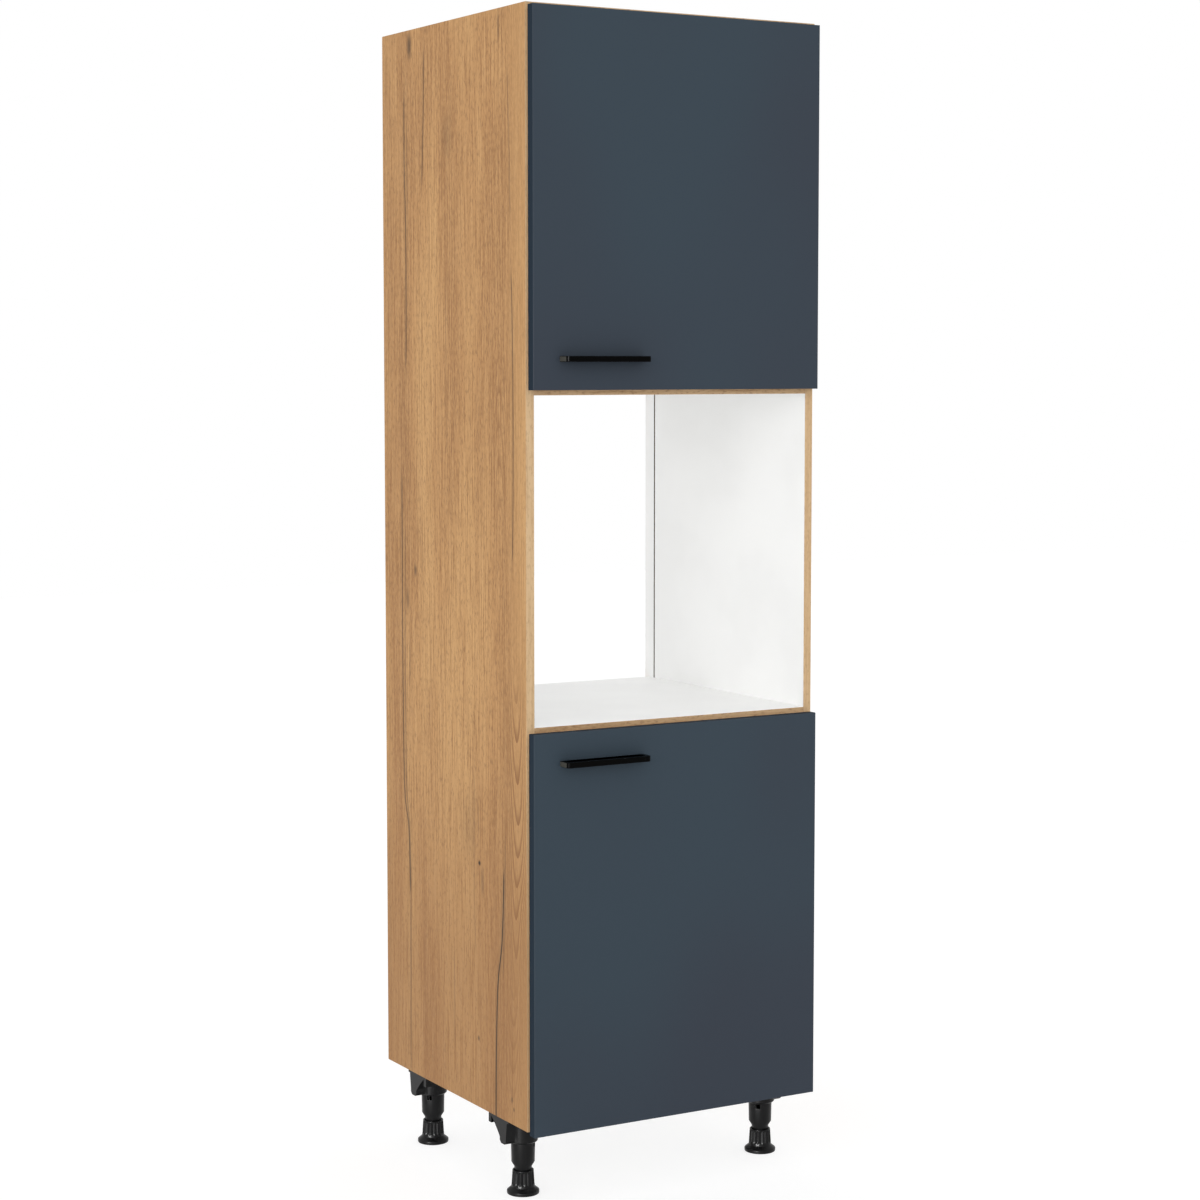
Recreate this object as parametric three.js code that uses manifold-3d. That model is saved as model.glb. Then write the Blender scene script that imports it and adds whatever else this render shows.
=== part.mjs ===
// Tall kitchen cabinet that houses a built-in oven between two hinged doors.
// Millimetres, +Z up, fronts facing -Y. The origin is on the floor, at the centre of the footprint.
import * as THREE from 'three';
import { mergeVertices } from 'three/addons/utils/BufferGeometryUtils.js';
import Module from 'manifold-3d';

const wasm = await Module();
wasm.setup();

// ---------------------------------------------------------------- driving dimensions

// Carcass of coated chipboard. The depths run back from the carcass front.
const carcassWidth = 600;
const carcassDepth = 568;
const boardThickness = 16;
const lowerCompartmentHeight = 686;
const ovenNicheHeight = 580;
const upperCompartmentHeight = 640;
const boardRearSetback = 16;

// Thin backs, slid into grooves
const backThickness = 3;
const grooveSetback = 33;
const grooveDepth = 7;
const grooveSideGap = 0.3;
const grooveEndGap = 0.5;

// Loose shelves on pins, with spare holes above and below
const shelfThickness = 16;
const shelfFrontSetback = 24;
const shelfRearGap = 2;
const shelfSideGap = 0.75;
const lowerShelfRise = 342;
const upperShelfRise = 314;
const pinRadius = 2.5;
const pinCollarRadius = 4;
const pinCollarThickness = 1.2;
const pinDepth = 8.5;
const pinReach = 8;
const pinHoleGap = 0.3;
const pinFrontInset = 37;
const pinSpacing = 416;
const pinPitch = 32;
const spareHoles = 1;

// Doors, hung on the right
const doorThickness = 19;
const doorGap = 2.5;
const doorSideMargin = 3;
const doorEdgeBevel = 1;
const lowerDoorDrop = 6;
const lowerDoorReveal = 9;
const upperDoorReveal = 9;
const upperDoorTopMargin = 5;

// Bar handles with bent ends
const handleLength = 170;
const handleProjection = 29;
const handleHeight = 10;
const handleBarDepth = 8;
const handlePostWidth = 10;
const handleBendRadius = 7;
const handleInset = 52;
const handleEdgeDistance = 54;
const handleScrewRadius = 2;
const handleScrewHeadRadius = 4.2;
const handleScrewHeadHeight = 2.4;
const handleScrewEngagement = 10;

// Concealed hinges: cup in the door, arm clipped over a plate on the side panel, link between them
const hingeEndDistance = 100;
const cupRadius = 17.5;
const cupDepth = 11.5;
const cupWall = 1.2;
const cupEdgeDistance = 3.6;
const cupFlangeThickness = 1.2;
const cupFlangeOverlap = 1;
const cupScrewSpacing = 45;
const cupScrewOffset = 9.5;
const cupWingRadius = 6.5;
const plateThickness = 2.5;
const plateLineInset = 37;
const plateWingHalfLength = 22;
const plateWingRadius = 8;
const railHalfWidth = 5.2;
const railHeight = 6.5;
const railFront = 24;
const railRear = 58;
const armWall = 1.5;
const armRear = 62;
const armFlangeLead = 8;
const armCrankLead = 6;
const armCrankBulge = 2;
const linkPivotInset = 24.5;
const linkPivotSetback = 3.4;
const linkTipOutset = 4;
const linkTipForward = 10.9;
const linkPivotRadius = 2.2;
const linkTipRadius = 1.3;
const linkPinRadius = 1.5;

// Adjustable legs, with the feet screwed right in
const legHeight = 142;
const legSideInset = 43.5;
const legFrontInset = 97;
const legRearInset = 107;
const footTravel = 25;
const footBaseRadius = 29.4;
const footBaseHeight = 6;
const footFlareHeight = 9;
const footEdgeRound = 2;
const collarFootReach = 2.4;
const collarFootRise = 3.4;
const collarHeight = 28.5;
const collarWall = 2.5;
const collarTaper = 1.6;
const collarRimRound = 1.2;
const collarCupDepth = 19;
const fluteCount = 18;
const fluteDepth = 0.8;
const stemRadius = 8;
const stemGap = 0.5;
const stemEngagement = 15;
const nutHeight = 25;
const noseRadius = 16;
const noseInsertion = 6;
const noseGap = 0.9;
const noseHeight = 12.5;
const noseConeHeight = 8.5;
const tubeRadius = 21.3;
const tubeTaper = 0.7;
const tubeWall = 2.5;
const windowWidth = 9;
const windowHeight = 8;
const windowRise = 86;
const bracketWindowRise = 114;
const socketWall = 4.7;
const socketHeight = 46.5;
const socketChamfer = 2.5;
const bracketPlateThickness = 5;
const bracketPlateRadius = 31;
const bracketReach = 41.5;
const padHalfWidth = 11.5;
const padHeight = 46;
const padStraightHeight = 11;
const padCorner = 5;
const padFlareReach = 14;
const padFlareDrop = 14;
const bracketTail = 54;
const lugLength = 10;
const lugWidth = 14;
const lugHeight = 18;

// General gaps between pieces
const seatGap = 0.3;
const roundSegments = 24;
const smallSegments = 10;

// ---------------------------------------------------------------- derived planes

const overallDepth = carcassDepth + doorGap + doorThickness + handleProjection;
const carcassFront = overallDepth / 2 - carcassDepth;
const carcassRear = carcassFront + carcassDepth;
const carcassHalf = carcassWidth / 2;
const innerHalf = carcassHalf - boardThickness;

const bottomUnderside = legHeight;
const lowerFloor = bottomUnderside + boardThickness;
const nicheFloorUnderside = lowerFloor + lowerCompartmentHeight;
const nicheFloor = nicheFloorUnderside + boardThickness;
const nicheCeiling = nicheFloor + ovenNicheHeight;
const upperFloor = nicheCeiling + boardThickness;
const topUnderside = upperFloor + upperCompartmentHeight;
const carcassTop = topUnderside + boardThickness;

const grooveWidth = backThickness + 2 * grooveSideGap;
const grooveRear = carcassRear - grooveSetback;
const grooveFront = grooveRear - grooveWidth;

const doorBack = carcassFront - doorGap;
const doorFront = doorBack - doorThickness;
const doorHalf = carcassHalf - doorSideMargin;
const pinHoleRadius = pinRadius + pinHoleGap;

const doors = [
  { name: 'lower', low: bottomUnderside - lowerDoorDrop, high: nicheFloor - lowerDoorReveal, handleAtTop: true },
  { name: 'upper', low: nicheCeiling + upperDoorReveal, high: carcassTop - upperDoorTopMargin, handleAtTop: false },
];

// ---------------------------------------------------------------- materials

const finish = (color, roughness, metalness = 0) =>
  new THREE.MeshStandardMaterial({ color, roughness, metalness });

const oakBoard = finish(0xba9063, 0.6);
const whiteBoard = finish(0xf1f2f3, 0.5);
const hardboard = finish(0xd9d4cc, 0.7);
const blueFront = finish(0x3f4955, 0.55);
const blackMetal = finish(0x121314, 0.35, 0.8);
const blackPlastic = finish(0x242526, 0.5);
const nickelSteel = finish(0xb4b6b8, 0.35, 1);
const zincSteel = finish(0xa9acae, 0.4, 1);

// ---------------------------------------------------------------- geometry helpers

/** A block between two opposite corners. */
function block([x0, y0, z0], [x1, y1, z1]) {
  const box = new THREE.BoxGeometry(x1 - x0, y1 - y0, z1 - z0);
  return box.translate((x0 + x1) / 2, (y0 + y1) / 2, (z0 + z1) / 2);
}

/** A cylinder round an axis ('x', 'y' or 'z'), from one end to the other along it. */
function rod(axis, radius, from, to, segments = smallSegments) {
  const cylinder = new THREE.CylinderGeometry(radius, radius, to - from, segments);
  cylinder.translate(0, (from + to) / 2, 0);
  if (axis === 'x') cylinder.rotateZ(-Math.PI / 2);
  if (axis === 'z') cylinder.rotateX(Math.PI / 2);
  return cylinder;
}

/** A profile of [radius, height] points turned round Z. */
function turned(profile, segments = roundSegments) {
  const points = profile.map(([radius, height]) => new THREE.Vector2(radius, height));
  return new THREE.LatheGeometry([...points, points[0].clone()], segments).rotateX(Math.PI / 2);
}

/** A flat shape in XY, extruded from one height to another. */
function prism(shape, low, high, curveSegments = 6) {
  const geometry = new THREE.ExtrudeGeometry(shape, { depth: high - low, bevelEnabled: false, curveSegments });
  return geometry.translate(0, 0, low);
}

/** An outline given as corner points. */
function outline(points) {
  return new THREE.Shape(points.map(([x, y]) => new THREE.Vector2(x, y)));
}

/** The closed belt round two circles, as an outline. */
function belt([ax, ay, aRadius], [bx, by, bRadius], steps = 6) {
  const heading = Math.atan2(by - ay, bx - ax);
  const spread = Math.acos((aRadius - bRadius) / Math.hypot(bx - ax, by - ay));
  const shape = new THREE.Shape();
  const arc = (x, y, radius, from, to) => {
    for (let step = 0; step <= steps; step += 1) {
      const angle = from + ((to - from) * step) / steps;
      const point = [x + radius * Math.cos(angle), y + radius * Math.sin(angle)];
      if (shape.curves.length === 0 && shape.currentPoint.lengthSq() === 0) shape.moveTo(...point);
      else shape.lineTo(...point);
    }
  };
  arc(bx, by, bRadius, heading - spread, heading + spread);
  arc(ax, ay, aRadius, heading + spread, heading + 2 * Math.PI - spread);
  shape.closePath();
  return shape;
}

/** Vertices merged, flat triangles dropped, faces turned to point out, as a solid for joins and cuts. */
function toSolid(source) {
  if (source instanceof wasm.Manifold) return source;
  const bare = source.clone();
  bare.deleteAttribute('normal');
  bare.deleteAttribute('uv');
  const merged = mergeVertices(bare, 1e-4);
  const positions = merged.getAttribute('position').array;
  const indices = merged.getIndex().array;
  const triangles = [];
  let sixVolumes = 0;
  for (let i = 0; i < indices.length; i += 3) {
    const [a, b, c] = [indices[i], indices[i + 1], indices[i + 2]];
    if (a === b || b === c || c === a) continue;
    const corners = [a, b, c].map((index) => new THREE.Vector3().fromArray(positions, 3 * index));
    sixVolumes += corners[0].dot(corners[1].clone().cross(corners[2]));
    triangles.push([a, b, c]);
  }
  const outward = sixVolumes > 0 ? triangles : triangles.map(([a, b, c]) => [a, c, b]);
  return new wasm.Manifold(new wasm.Mesh({
    numProp: 3,
    vertProperties: Float32Array.from(positions),
    triVerts: Uint32Array.from(outward.flat()),
  }));
}

/** Pieces of material joined into one solid. */
function join(...parts) {
  return parts.map(toSolid).reduce((whole, part) => whole.add(part));
}

/** One solid with others cut out of it. */
function cut(body, ...tools) {
  return tools.map(toSolid).reduce((rest, tool) => rest.subtract(tool), toSolid(body));
}

/** A solid as three.js geometry with flat shading. */
function toGeometry(source) {
  const { vertProperties, triVerts, numProp } = toSolid(source).getMesh();
  const indexed = new THREE.BufferGeometry();
  const positions = new Float32Array((vertProperties.length / numProp) * 3);
  for (let i = 0; i < positions.length / 3; i += 1) {
    positions.set(vertProperties.subarray(i * numProp, i * numProp + 3), i * 3);
  }
  indexed.setAttribute('position', new THREE.BufferAttribute(positions, 3));
  indexed.setIndex(new THREE.BufferAttribute(Uint32Array.from(triVerts), 1));
  const flat = indexed.toNonIndexed();
  flat.computeVertexNormals();
  return flat;
}

/** A named mesh at a place. */
function piece(name, source, material, [x, y, z] = [0, 0, 0]) {
  const mesh = new THREE.Mesh(toGeometry(source), material);
  mesh.name = name;
  mesh.position.set(x, y, z);
  return mesh;
}

/** A geometry mirrored by signs of +1 or -1 along X and Y. */
function mirrored(source, signX, signY) {
  return toGeometry(source).scale(signX, signY, 1);
}

/** A group of meshes at a place. */
function assembly([x, y, z], ...meshes) {
  const group = new THREE.Group();
  group.position.set(x, y, z);
  group.add(...meshes);
  return group;
}

// ---------------------------------------------------------------- carcass

/** Heights of the holes for one shelf: the pin's own hole, with the spare ones round it. */
function pinHoleHeights(shelfUnderside) {
  const heights = [];
  for (let step = -spareHoles; step <= spareHoles; step += 1) {
    heights.push(shelfUnderside - seatGap - pinRadius + step * pinPitch);
  }
  return heights;
}

const shelves = [
  { name: 'lower', underside: lowerFloor + lowerShelfRise },
  { name: 'upper', underside: upperFloor + upperShelfRise },
];
const pinDepths = [pinFrontInset, pinFrontInset + pinSpacing];

/** Side panel, drilled for shelf pins and grooved for the backs. side is -1 on the left, +1 on the right. */
function sidePanel(side) {
  const outer = side * carcassHalf;
  const inner = side * innerHalf;
  const grooveFloor = side * (innerHalf + grooveDepth);
  const panel = prism(outline([
    [outer, carcassFront],
    [inner, carcassFront],
    [inner, grooveFront],
    [grooveFloor, grooveFront],
    [grooveFloor, grooveRear],
    [inner, grooveRear],
    [inner, carcassRear],
    [outer, carcassRear],
  ]), bottomUnderside, carcassTop);
  const holes = [];
  for (const shelf of shelves) {
    for (const height of pinHoleHeights(shelf.underside)) {
      for (const depth of pinDepths) {
        const hole = rod('x', pinHoleRadius, -pinDepth - pinHoleGap, pinDepth + pinHoleGap, 8);
        holes.push(hole.translate(inner, carcassFront + depth, height));
      }
    }
  }
  return cut(panel, ...holes);
}

/** Fixed board between the sides, grooved on one or both faces for the edge of a back. */
function fixedBoard(underside, { grooveAbove = false, grooveBelow = false }) {
  const top = underside + boardThickness;
  const board = block([-innerHalf, carcassFront, underside], [innerHalf, carcassRear - boardRearSetback, top]);
  const groove = (low, high) => block([-carcassHalf, grooveFront, low], [carcassHalf, grooveRear, high]);
  const grooves = [];
  if (grooveAbove) grooves.push(groove(top - grooveDepth, top + 1));
  if (grooveBelow) grooves.push(groove(underside - 1, underside + grooveDepth));
  return cut(board, ...grooves);
}

/** Thin back between two fixed boards, its edges in their grooves. */
function backPanel(floor, ceiling) {
  const edge = grooveDepth - grooveEndGap;
  const front = grooveFront + grooveSideGap;
  return block(
    [-innerHalf - edge, front, floor - edge],
    [innerHalf + edge, front + backThickness, ceiling + edge],
  );
}

const carcass = new THREE.Group();
carcass.add(
  piece('left_side_panel', sidePanel(-1), oakBoard),
  piece('right_side_panel', sidePanel(1), oakBoard),
  piece('bottom_panel', fixedBoard(bottomUnderside, { grooveAbove: true }), whiteBoard),
  piece('niche_floor_board', fixedBoard(nicheFloorUnderside, { grooveBelow: true }), whiteBoard),
  piece('niche_ceiling_board', fixedBoard(nicheCeiling, { grooveAbove: true }), whiteBoard),
  piece('top_panel', fixedBoard(topUnderside, { grooveBelow: true }), whiteBoard),
  piece('lower_back_panel', backPanel(lowerFloor, nicheFloorUnderside), hardboard),
  piece('upper_back_panel', backPanel(upperFloor, topUnderside), hardboard),
);

// ---------------------------------------------------------------- shelves

/** Shelf pin for the left side: shank in the panel, collar on its face, peg under the shelf. */
function shelfPin() {
  return turned([
    [0, -pinDepth],
    [pinRadius, -pinDepth],
    [pinRadius, seatGap],
    [pinCollarRadius, seatGap],
    [pinCollarRadius, seatGap + pinCollarThickness],
    [pinRadius, seatGap + pinCollarThickness],
    [pinRadius, pinReach],
    [0, pinReach],
  ], smallSegments).rotateY(Math.PI / 2);
}

for (const { name, underside } of shelves) {
  const halfWidth = innerHalf - shelfSideGap;
  const front = carcassFront + shelfFrontSetback;
  const rear = grooveFront - shelfRearGap;
  // The collars stand beside the shelf, so its corners are notched for them.
  const board = block([-halfWidth, front, underside], [halfWidth, rear, underside + shelfThickness]);
  const notches = [];
  for (const side of [-1, 1]) {
    for (const depth of pinDepths) {
      const reach = seatGap + pinCollarThickness + seatGap;
      const notch = rod('x', pinCollarRadius + seatGap, -reach, reach);
      const height = underside - seatGap - pinRadius;
      notches.push(notch.translate(side * innerHalf, carcassFront + depth, height));
    }
  }
  carcass.add(piece(`${name}_shelf`, cut(board, ...notches), whiteBoard));

  for (const [sideName, side] of [['left', -1], ['right', 1]]) {
    for (const [depthIndex, depthName] of ['front', 'rear'].entries()) {
      carcass.add(piece(
        `${name}_shelf_pin_${depthName}_${sideName}`,
        mirrored(shelfPin(), -side, 1),
        zincSteel,
        [side * innerHalf, carcassFront + pinDepths[depthIndex], underside - seatGap - pinRadius],
      ));
    }
  }
}

// ---------------------------------------------------------------- doors and handles

const handlePostInset = handlePostWidth / 2;
const handleScrewHole = handleScrewRadius + seatGap;
const cupCentre = doorHalf - cupEdgeDistance - cupRadius;
const hingeHeights = ({ low, high }) => [
  ['bottom', low + hingeEndDistance],
  ['top', high - hingeEndDistance],
];
const handlePlace = ({ low, high, handleAtTop }) => ({
  left: -doorHalf + handleInset,
  height: handleAtTop ? high - handleEdgeDistance : low + handleEdgeDistance,
});

/** Door leaf with softened edges, cup pockets and screw holes for its handle. */
function doorLeaf(door) {
  const slab = new THREE.ExtrudeGeometry(outline([
    [-doorHalf, door.low],
    [doorHalf, door.low],
    [doorHalf, door.high],
    [-doorHalf, door.high],
  ]), {
    depth: doorThickness - 2 * doorEdgeBevel,
    bevelThickness: doorEdgeBevel,
    bevelSize: doorEdgeBevel,
    bevelOffset: -doorEdgeBevel,
    bevelSegments: 2,
  });
  slab.translate(0, 0, doorEdgeBevel).rotateX(Math.PI / 2).translate(0, doorBack, 0);
  const pockets = hingeHeights(door).map(([, height]) => {
    const pocket = rod('y', cupRadius + seatGap, -cupDepth - seatGap, seatGap, roundSegments);
    return pocket.translate(cupCentre, doorBack, height);
  });
  const { left, height } = handlePlace(door);
  const holes = [left + handlePostInset, left + handleLength - handlePostInset].map((x) => {
    const hole = rod('y', handleScrewHole, -doorThickness - 1, 1);
    return hole.translate(x, doorBack, height);
  });
  return cut(slab, ...pockets, ...holes);
}

/** Bar bent to a U in plan, with a blind screw hole in each end. Its left end is at x = 0, its feet at y = 0. */
function barHandle() {
  const shape = new THREE.Shape();
  const bend = handleBendRadius;
  const inside = Math.max(bend - Math.max(handleBarDepth, handlePostWidth), 0.5);
  const innerRight = handleLength - handlePostWidth;
  const innerFront = handleProjection - handleBarDepth;
  shape.moveTo(0, 0);
  shape.lineTo(0, handleProjection - bend);
  shape.absarc(bend, handleProjection - bend, bend, Math.PI, Math.PI / 2, true);
  shape.lineTo(handleLength - bend, handleProjection);
  shape.absarc(handleLength - bend, handleProjection - bend, bend, Math.PI / 2, 0, true);
  shape.lineTo(handleLength, 0);
  shape.lineTo(innerRight, 0);
  shape.lineTo(innerRight, innerFront - inside);
  shape.lineTo(innerRight - inside, innerFront);
  shape.lineTo(handlePostWidth + inside, innerFront);
  shape.lineTo(handlePostWidth, innerFront - inside);
  shape.lineTo(handlePostWidth, 0);
  shape.closePath();
  const bar = prism(shape, -handleHeight / 2, handleHeight / 2).scale(1, -1, 1);
  const holes = [handlePostInset, handleLength - handlePostInset].map((x) => {
    const hole = rod('y', handleScrewHole, -handleScrewEngagement - seatGap, 1);
    return hole.translate(x, 0, 0);
  });
  return cut(bar, ...holes);
}

/** Handle screw: head on the back of the door, shank through it into the handle. Head seat at y = 0. */
function handleScrew() {
  const shankEnd = -doorThickness - handleScrewEngagement;
  const shank = rod('y', handleScrewRadius, shankEnd, seatGap + handleScrewHeadHeight / 2);
  const head = rod('y', handleScrewHeadRadius, seatGap, seatGap + handleScrewHeadHeight, 16);
  return join(shank, head);
}

/** Hinge cup with its screw flange: a turned pot under a plate with two wings. Cup mouth at y = 0. */
function hingeCup() {
  const flangeBase = seatGap;
  const flangeTop = seatGap + cupFlangeThickness;
  const pot = rod('y', cupRadius, -cupDepth, flangeBase + cupFlangeThickness / 2, roundSegments);
  const rim = rod('y', cupRadius + cupFlangeOverlap, flangeBase, flangeTop, roundSegments);
  const half = cupScrewSpacing / 2;
  const wing = belt(
    [-cupScrewOffset, -half, cupWingRadius],
    [-cupScrewOffset, half, cupWingRadius],
  );
  const wings = prism(wing, flangeBase, flangeTop).rotateX(Math.PI / 2).scale(1, -1, 1);
  const well = rod('y', cupRadius - cupWall, -cupDepth + cupWall, flangeTop + 1, roundSegments);
  return cut(join(pot, rim, wings), well);
}

for (const door of doors) {
  const { left, height } = handlePlace(door);
  const ends = [['left', left + handlePostInset], ['right', left + handleLength - handlePostInset]];
  carcass.add(assembly(
    [0, 0, 0],
    piece(`${door.name}_door`, doorLeaf(door), blueFront),
    piece(`${door.name}_handle`, barHandle(), blackMetal, [left, doorFront, height]),
    ...ends.map(([end, x]) =>
      piece(`${door.name}_handle_screw_${end}`, handleScrew(), zincSteel, [x, doorBack, height])),
    ...hingeHeights(door).map(([end, z]) =>
      piece(`${door.name}_${end}_hinge_cup`, hingeCup(), nickelSteel, [cupCentre, doorBack, z])),
  ));
}

// ---------------------------------------------------------------- hinge arms, plates and links
// Local frame: x = 0 on the right panel's inner face, y = 0 on the carcass front, z = 0 at mid height.

/** Mounting plate: two screw wings on the panel, and the rail that the arm clips over. */
function hingePlate() {
  const wing = belt(
    [plateLineInset, -plateWingHalfLength + plateWingRadius, plateWingRadius],
    [plateLineInset, plateWingHalfLength - plateWingRadius, plateWingRadius],
  );
  // The outline lies in the plane of the panel: its x runs back along the cabinet, its y up.
  const wings = prism(wing, 0, plateThickness).applyMatrix4(new THREE.Matrix4().makeBasis(
    new THREE.Vector3(0, 1, 0),
    new THREE.Vector3(0, 0, 1),
    new THREE.Vector3(-1, 0, 0),
  ));
  const top = plateThickness + railHeight;
  const foot = block([-plateThickness, railFront, -railHalfWidth], [0, railRear, railHalfWidth]);
  const rail = block([-top, railFront, -railHalfWidth], [0, railRear, railHalfWidth]);
  return join(wings, foot, rail);
}

const channelHalf = railHalfWidth + seatGap;
const armHalf = channelHalf + armWall;
const armTop = plateThickness + railHeight + seatGap + armWall;
const armFoot = plateThickness + seatGap;
const armNoseRadius = linkPivotRadius + seatGap + armWall;
const armFlangeFront = railFront - armFlangeLead;

/** Top of the arm from rear to front, drawn inwards by an inset: low over the rail, then cranked up to the pivot. */
function traceArmTop(shape, inset, noseEnd) {
  const top = armTop - inset;
  const radius = armNoseRadius - inset;
  shape.lineTo(-top, armRear + inset);
  shape.lineTo(-top, railFront + armWall);
  shape.quadraticCurveTo(
    -top - armCrankBulge,
    railFront - armCrankLead,
    -linkPivotInset - radius * Math.cos(0.3 * Math.PI),
    linkPivotSetback + radius * Math.sin(0.3 * Math.PI),
  );
  shape.absarc(-linkPivotInset, linkPivotSetback, radius, 0.7 * Math.PI, noseEnd, false);
}

/** Hinge arm: a pressed channel over the rail, open below and in front, with eyes for the link's pin. */
function hingeArm() {
  const side = new THREE.Shape();
  side.moveTo(-armFoot, armRear);
  traceArmTop(side, 0, 1.7 * Math.PI);
  side.quadraticCurveTo(-armTop, linkPivotSetback + armRear / 8, -armFoot, armFlangeFront);
  side.closePath();

  const channel = new THREE.Shape();
  const beyond = armRear + armWall;
  const ahead = linkPivotSetback - armNoseRadius - armWall;
  channel.moveTo(armWall, beyond);
  traceArmTop(channel, armWall, 1.25 * Math.PI);
  channel.lineTo(-linkPivotInset, ahead);
  channel.lineTo(armWall, ahead);
  channel.closePath();

  const eye = rod('z', linkPinRadius + seatGap, -armHalf - 1, armHalf + 1);
  eye.translate(-linkPivotInset, linkPivotSetback, 0);
  return cut(prism(side, -armHalf, armHalf, 8), prism(channel, -channelHalf, channelHalf, 8), eye);
}

/** Hinge link: a tapered plate from the pin in the arm's nose to its rolled tip in the cup. */
function hingeLink() {
  const plate = belt(
    [-linkPivotInset, linkPivotSetback, linkPivotRadius],
    [linkTipOutset, -linkTipForward, linkTipRadius],
  );
  const pin = rod('z', linkPinRadius, -armHalf, armHalf);
  pin.translate(-linkPivotInset, linkPivotSetback, 0);
  return join(prism(plate, -railHalfWidth, railHalfWidth), pin);
}

for (const door of doors) {
  for (const [end, height] of hingeHeights(door)) {
    carcass.add(assembly(
      [innerHalf, carcassFront, height],
      piece(`${door.name}_${end}_hinge_plate`, hingePlate(), nickelSteel),
      piece(`${door.name}_${end}_hinge_arm`, hingeArm(), nickelSteel),
      piece(`${door.name}_${end}_hinge_link`, hingeLink(), nickelSteel),
    ));
  }
}

// ---------------------------------------------------------------- adjustable legs
// Local frame: z = 0 on the floor, the leg's axis at x = y = 0.

const flareTop = footBaseHeight + footFlareHeight;
const collarTop = flareTop + collarHeight;
const collarBore = noseRadius + noseGap;
const collarTopRadius = collarBore + collarWall;
const collarBottomRadius = collarTopRadius + collarTaper;
const noseBottom = collarTop - noseInsertion;
const noseTop = noseBottom + noseHeight;
const stemTop = noseBottom + footTravel + stemEngagement;
const tubeTop = legHeight - bracketPlateThickness - seatGap;
const tubeTopRadius = tubeRadius + tubeTaper;
const socketBore = tubeTopRadius + seatGap;
const socketRadius = socketBore + socketWall;
const socketBottom = legHeight - socketHeight;

/** Adjustable foot: round base, fluted collar open at the top, and the threaded stem inside it. */
function adjustableFoot() {
  const body = turned([
    [0, 0],
    [footBaseRadius - footEdgeRound, 0],
    [footBaseRadius, footEdgeRound],
    [footBaseRadius, footBaseHeight - footEdgeRound / 2],
    [footBaseRadius - footEdgeRound / 2, footBaseHeight + footEdgeRound / 2],
    [collarBottomRadius + collarFootReach, flareTop - collarFootRise],
    [collarBottomRadius + collarFootReach / 4, flareTop - collarFootRise / 4],
    [collarBottomRadius, flareTop + 1],
    [collarTopRadius, collarTop - 2 * collarRimRound],
    [collarTopRadius - collarRimRound, collarTop],
    [0, collarTop],
  ], 2 * fluteCount);
  // Every second line of facets is drawn in between the flare and the rim, which makes the flutes.
  const places = body.getAttribute('position');
  for (let i = 0; i < places.count; i += 1) {
    const height = places.getZ(i);
    if (height < flareTop || height > collarTop - collarRimRound) continue;
    const turn = Math.round((Math.atan2(places.getY(i), places.getX(i)) * fluteCount) / Math.PI);
    if (turn % 2 === 0) continue;
    const radius = Math.hypot(places.getX(i), places.getY(i));
    const shrink = (radius - fluteDepth) / radius;
    places.setXY(i, places.getX(i) * shrink, places.getY(i) * shrink);
  }
  const well = rod('z', collarBore, collarTop - collarCupDepth, collarTop + 1, roundSegments);
  const stem = rod('z', stemRadius, footBaseHeight, stemTop, 16);
  return join(cut(body, well), stem);
}

/** Opposite windows across a leg, on the diagonal that turn (+1 or -1) picks. */
function windows(turn, radius, low) {
  const slot = block([-radius - 1, -windowWidth / 2, low], [radius + 1, windowWidth / 2, low + windowHeight]);
  return slot.rotateZ((turn * Math.PI) / 4);
}

/** Leg tube: tapered nose with the nut for the stem, hollow above it, two small windows near the bracket. */
function legTube(turn) {
  const boreRadius = tubeRadius - tubeWall;
  const nutTop = noseBottom + nutHeight;
  const outside = turned([
    [0, noseBottom],
    [noseRadius, noseBottom],
    [noseRadius, noseTop],
    [tubeRadius, noseTop + noseConeHeight],
    [tubeTopRadius, socketBottom],
    [tubeTopRadius, tubeTop],
    [0, tubeTop],
  ]);
  const bore = rod('z', boreRadius, nutTop, tubeTop + 1, roundSegments);
  const nut = rod('z', stemRadius + stemGap, noseBottom - 1, nutTop + 1, 16);
  return cut(outside, bore, nut, windows(turn, tubeTopRadius, windowRise));
}

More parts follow.
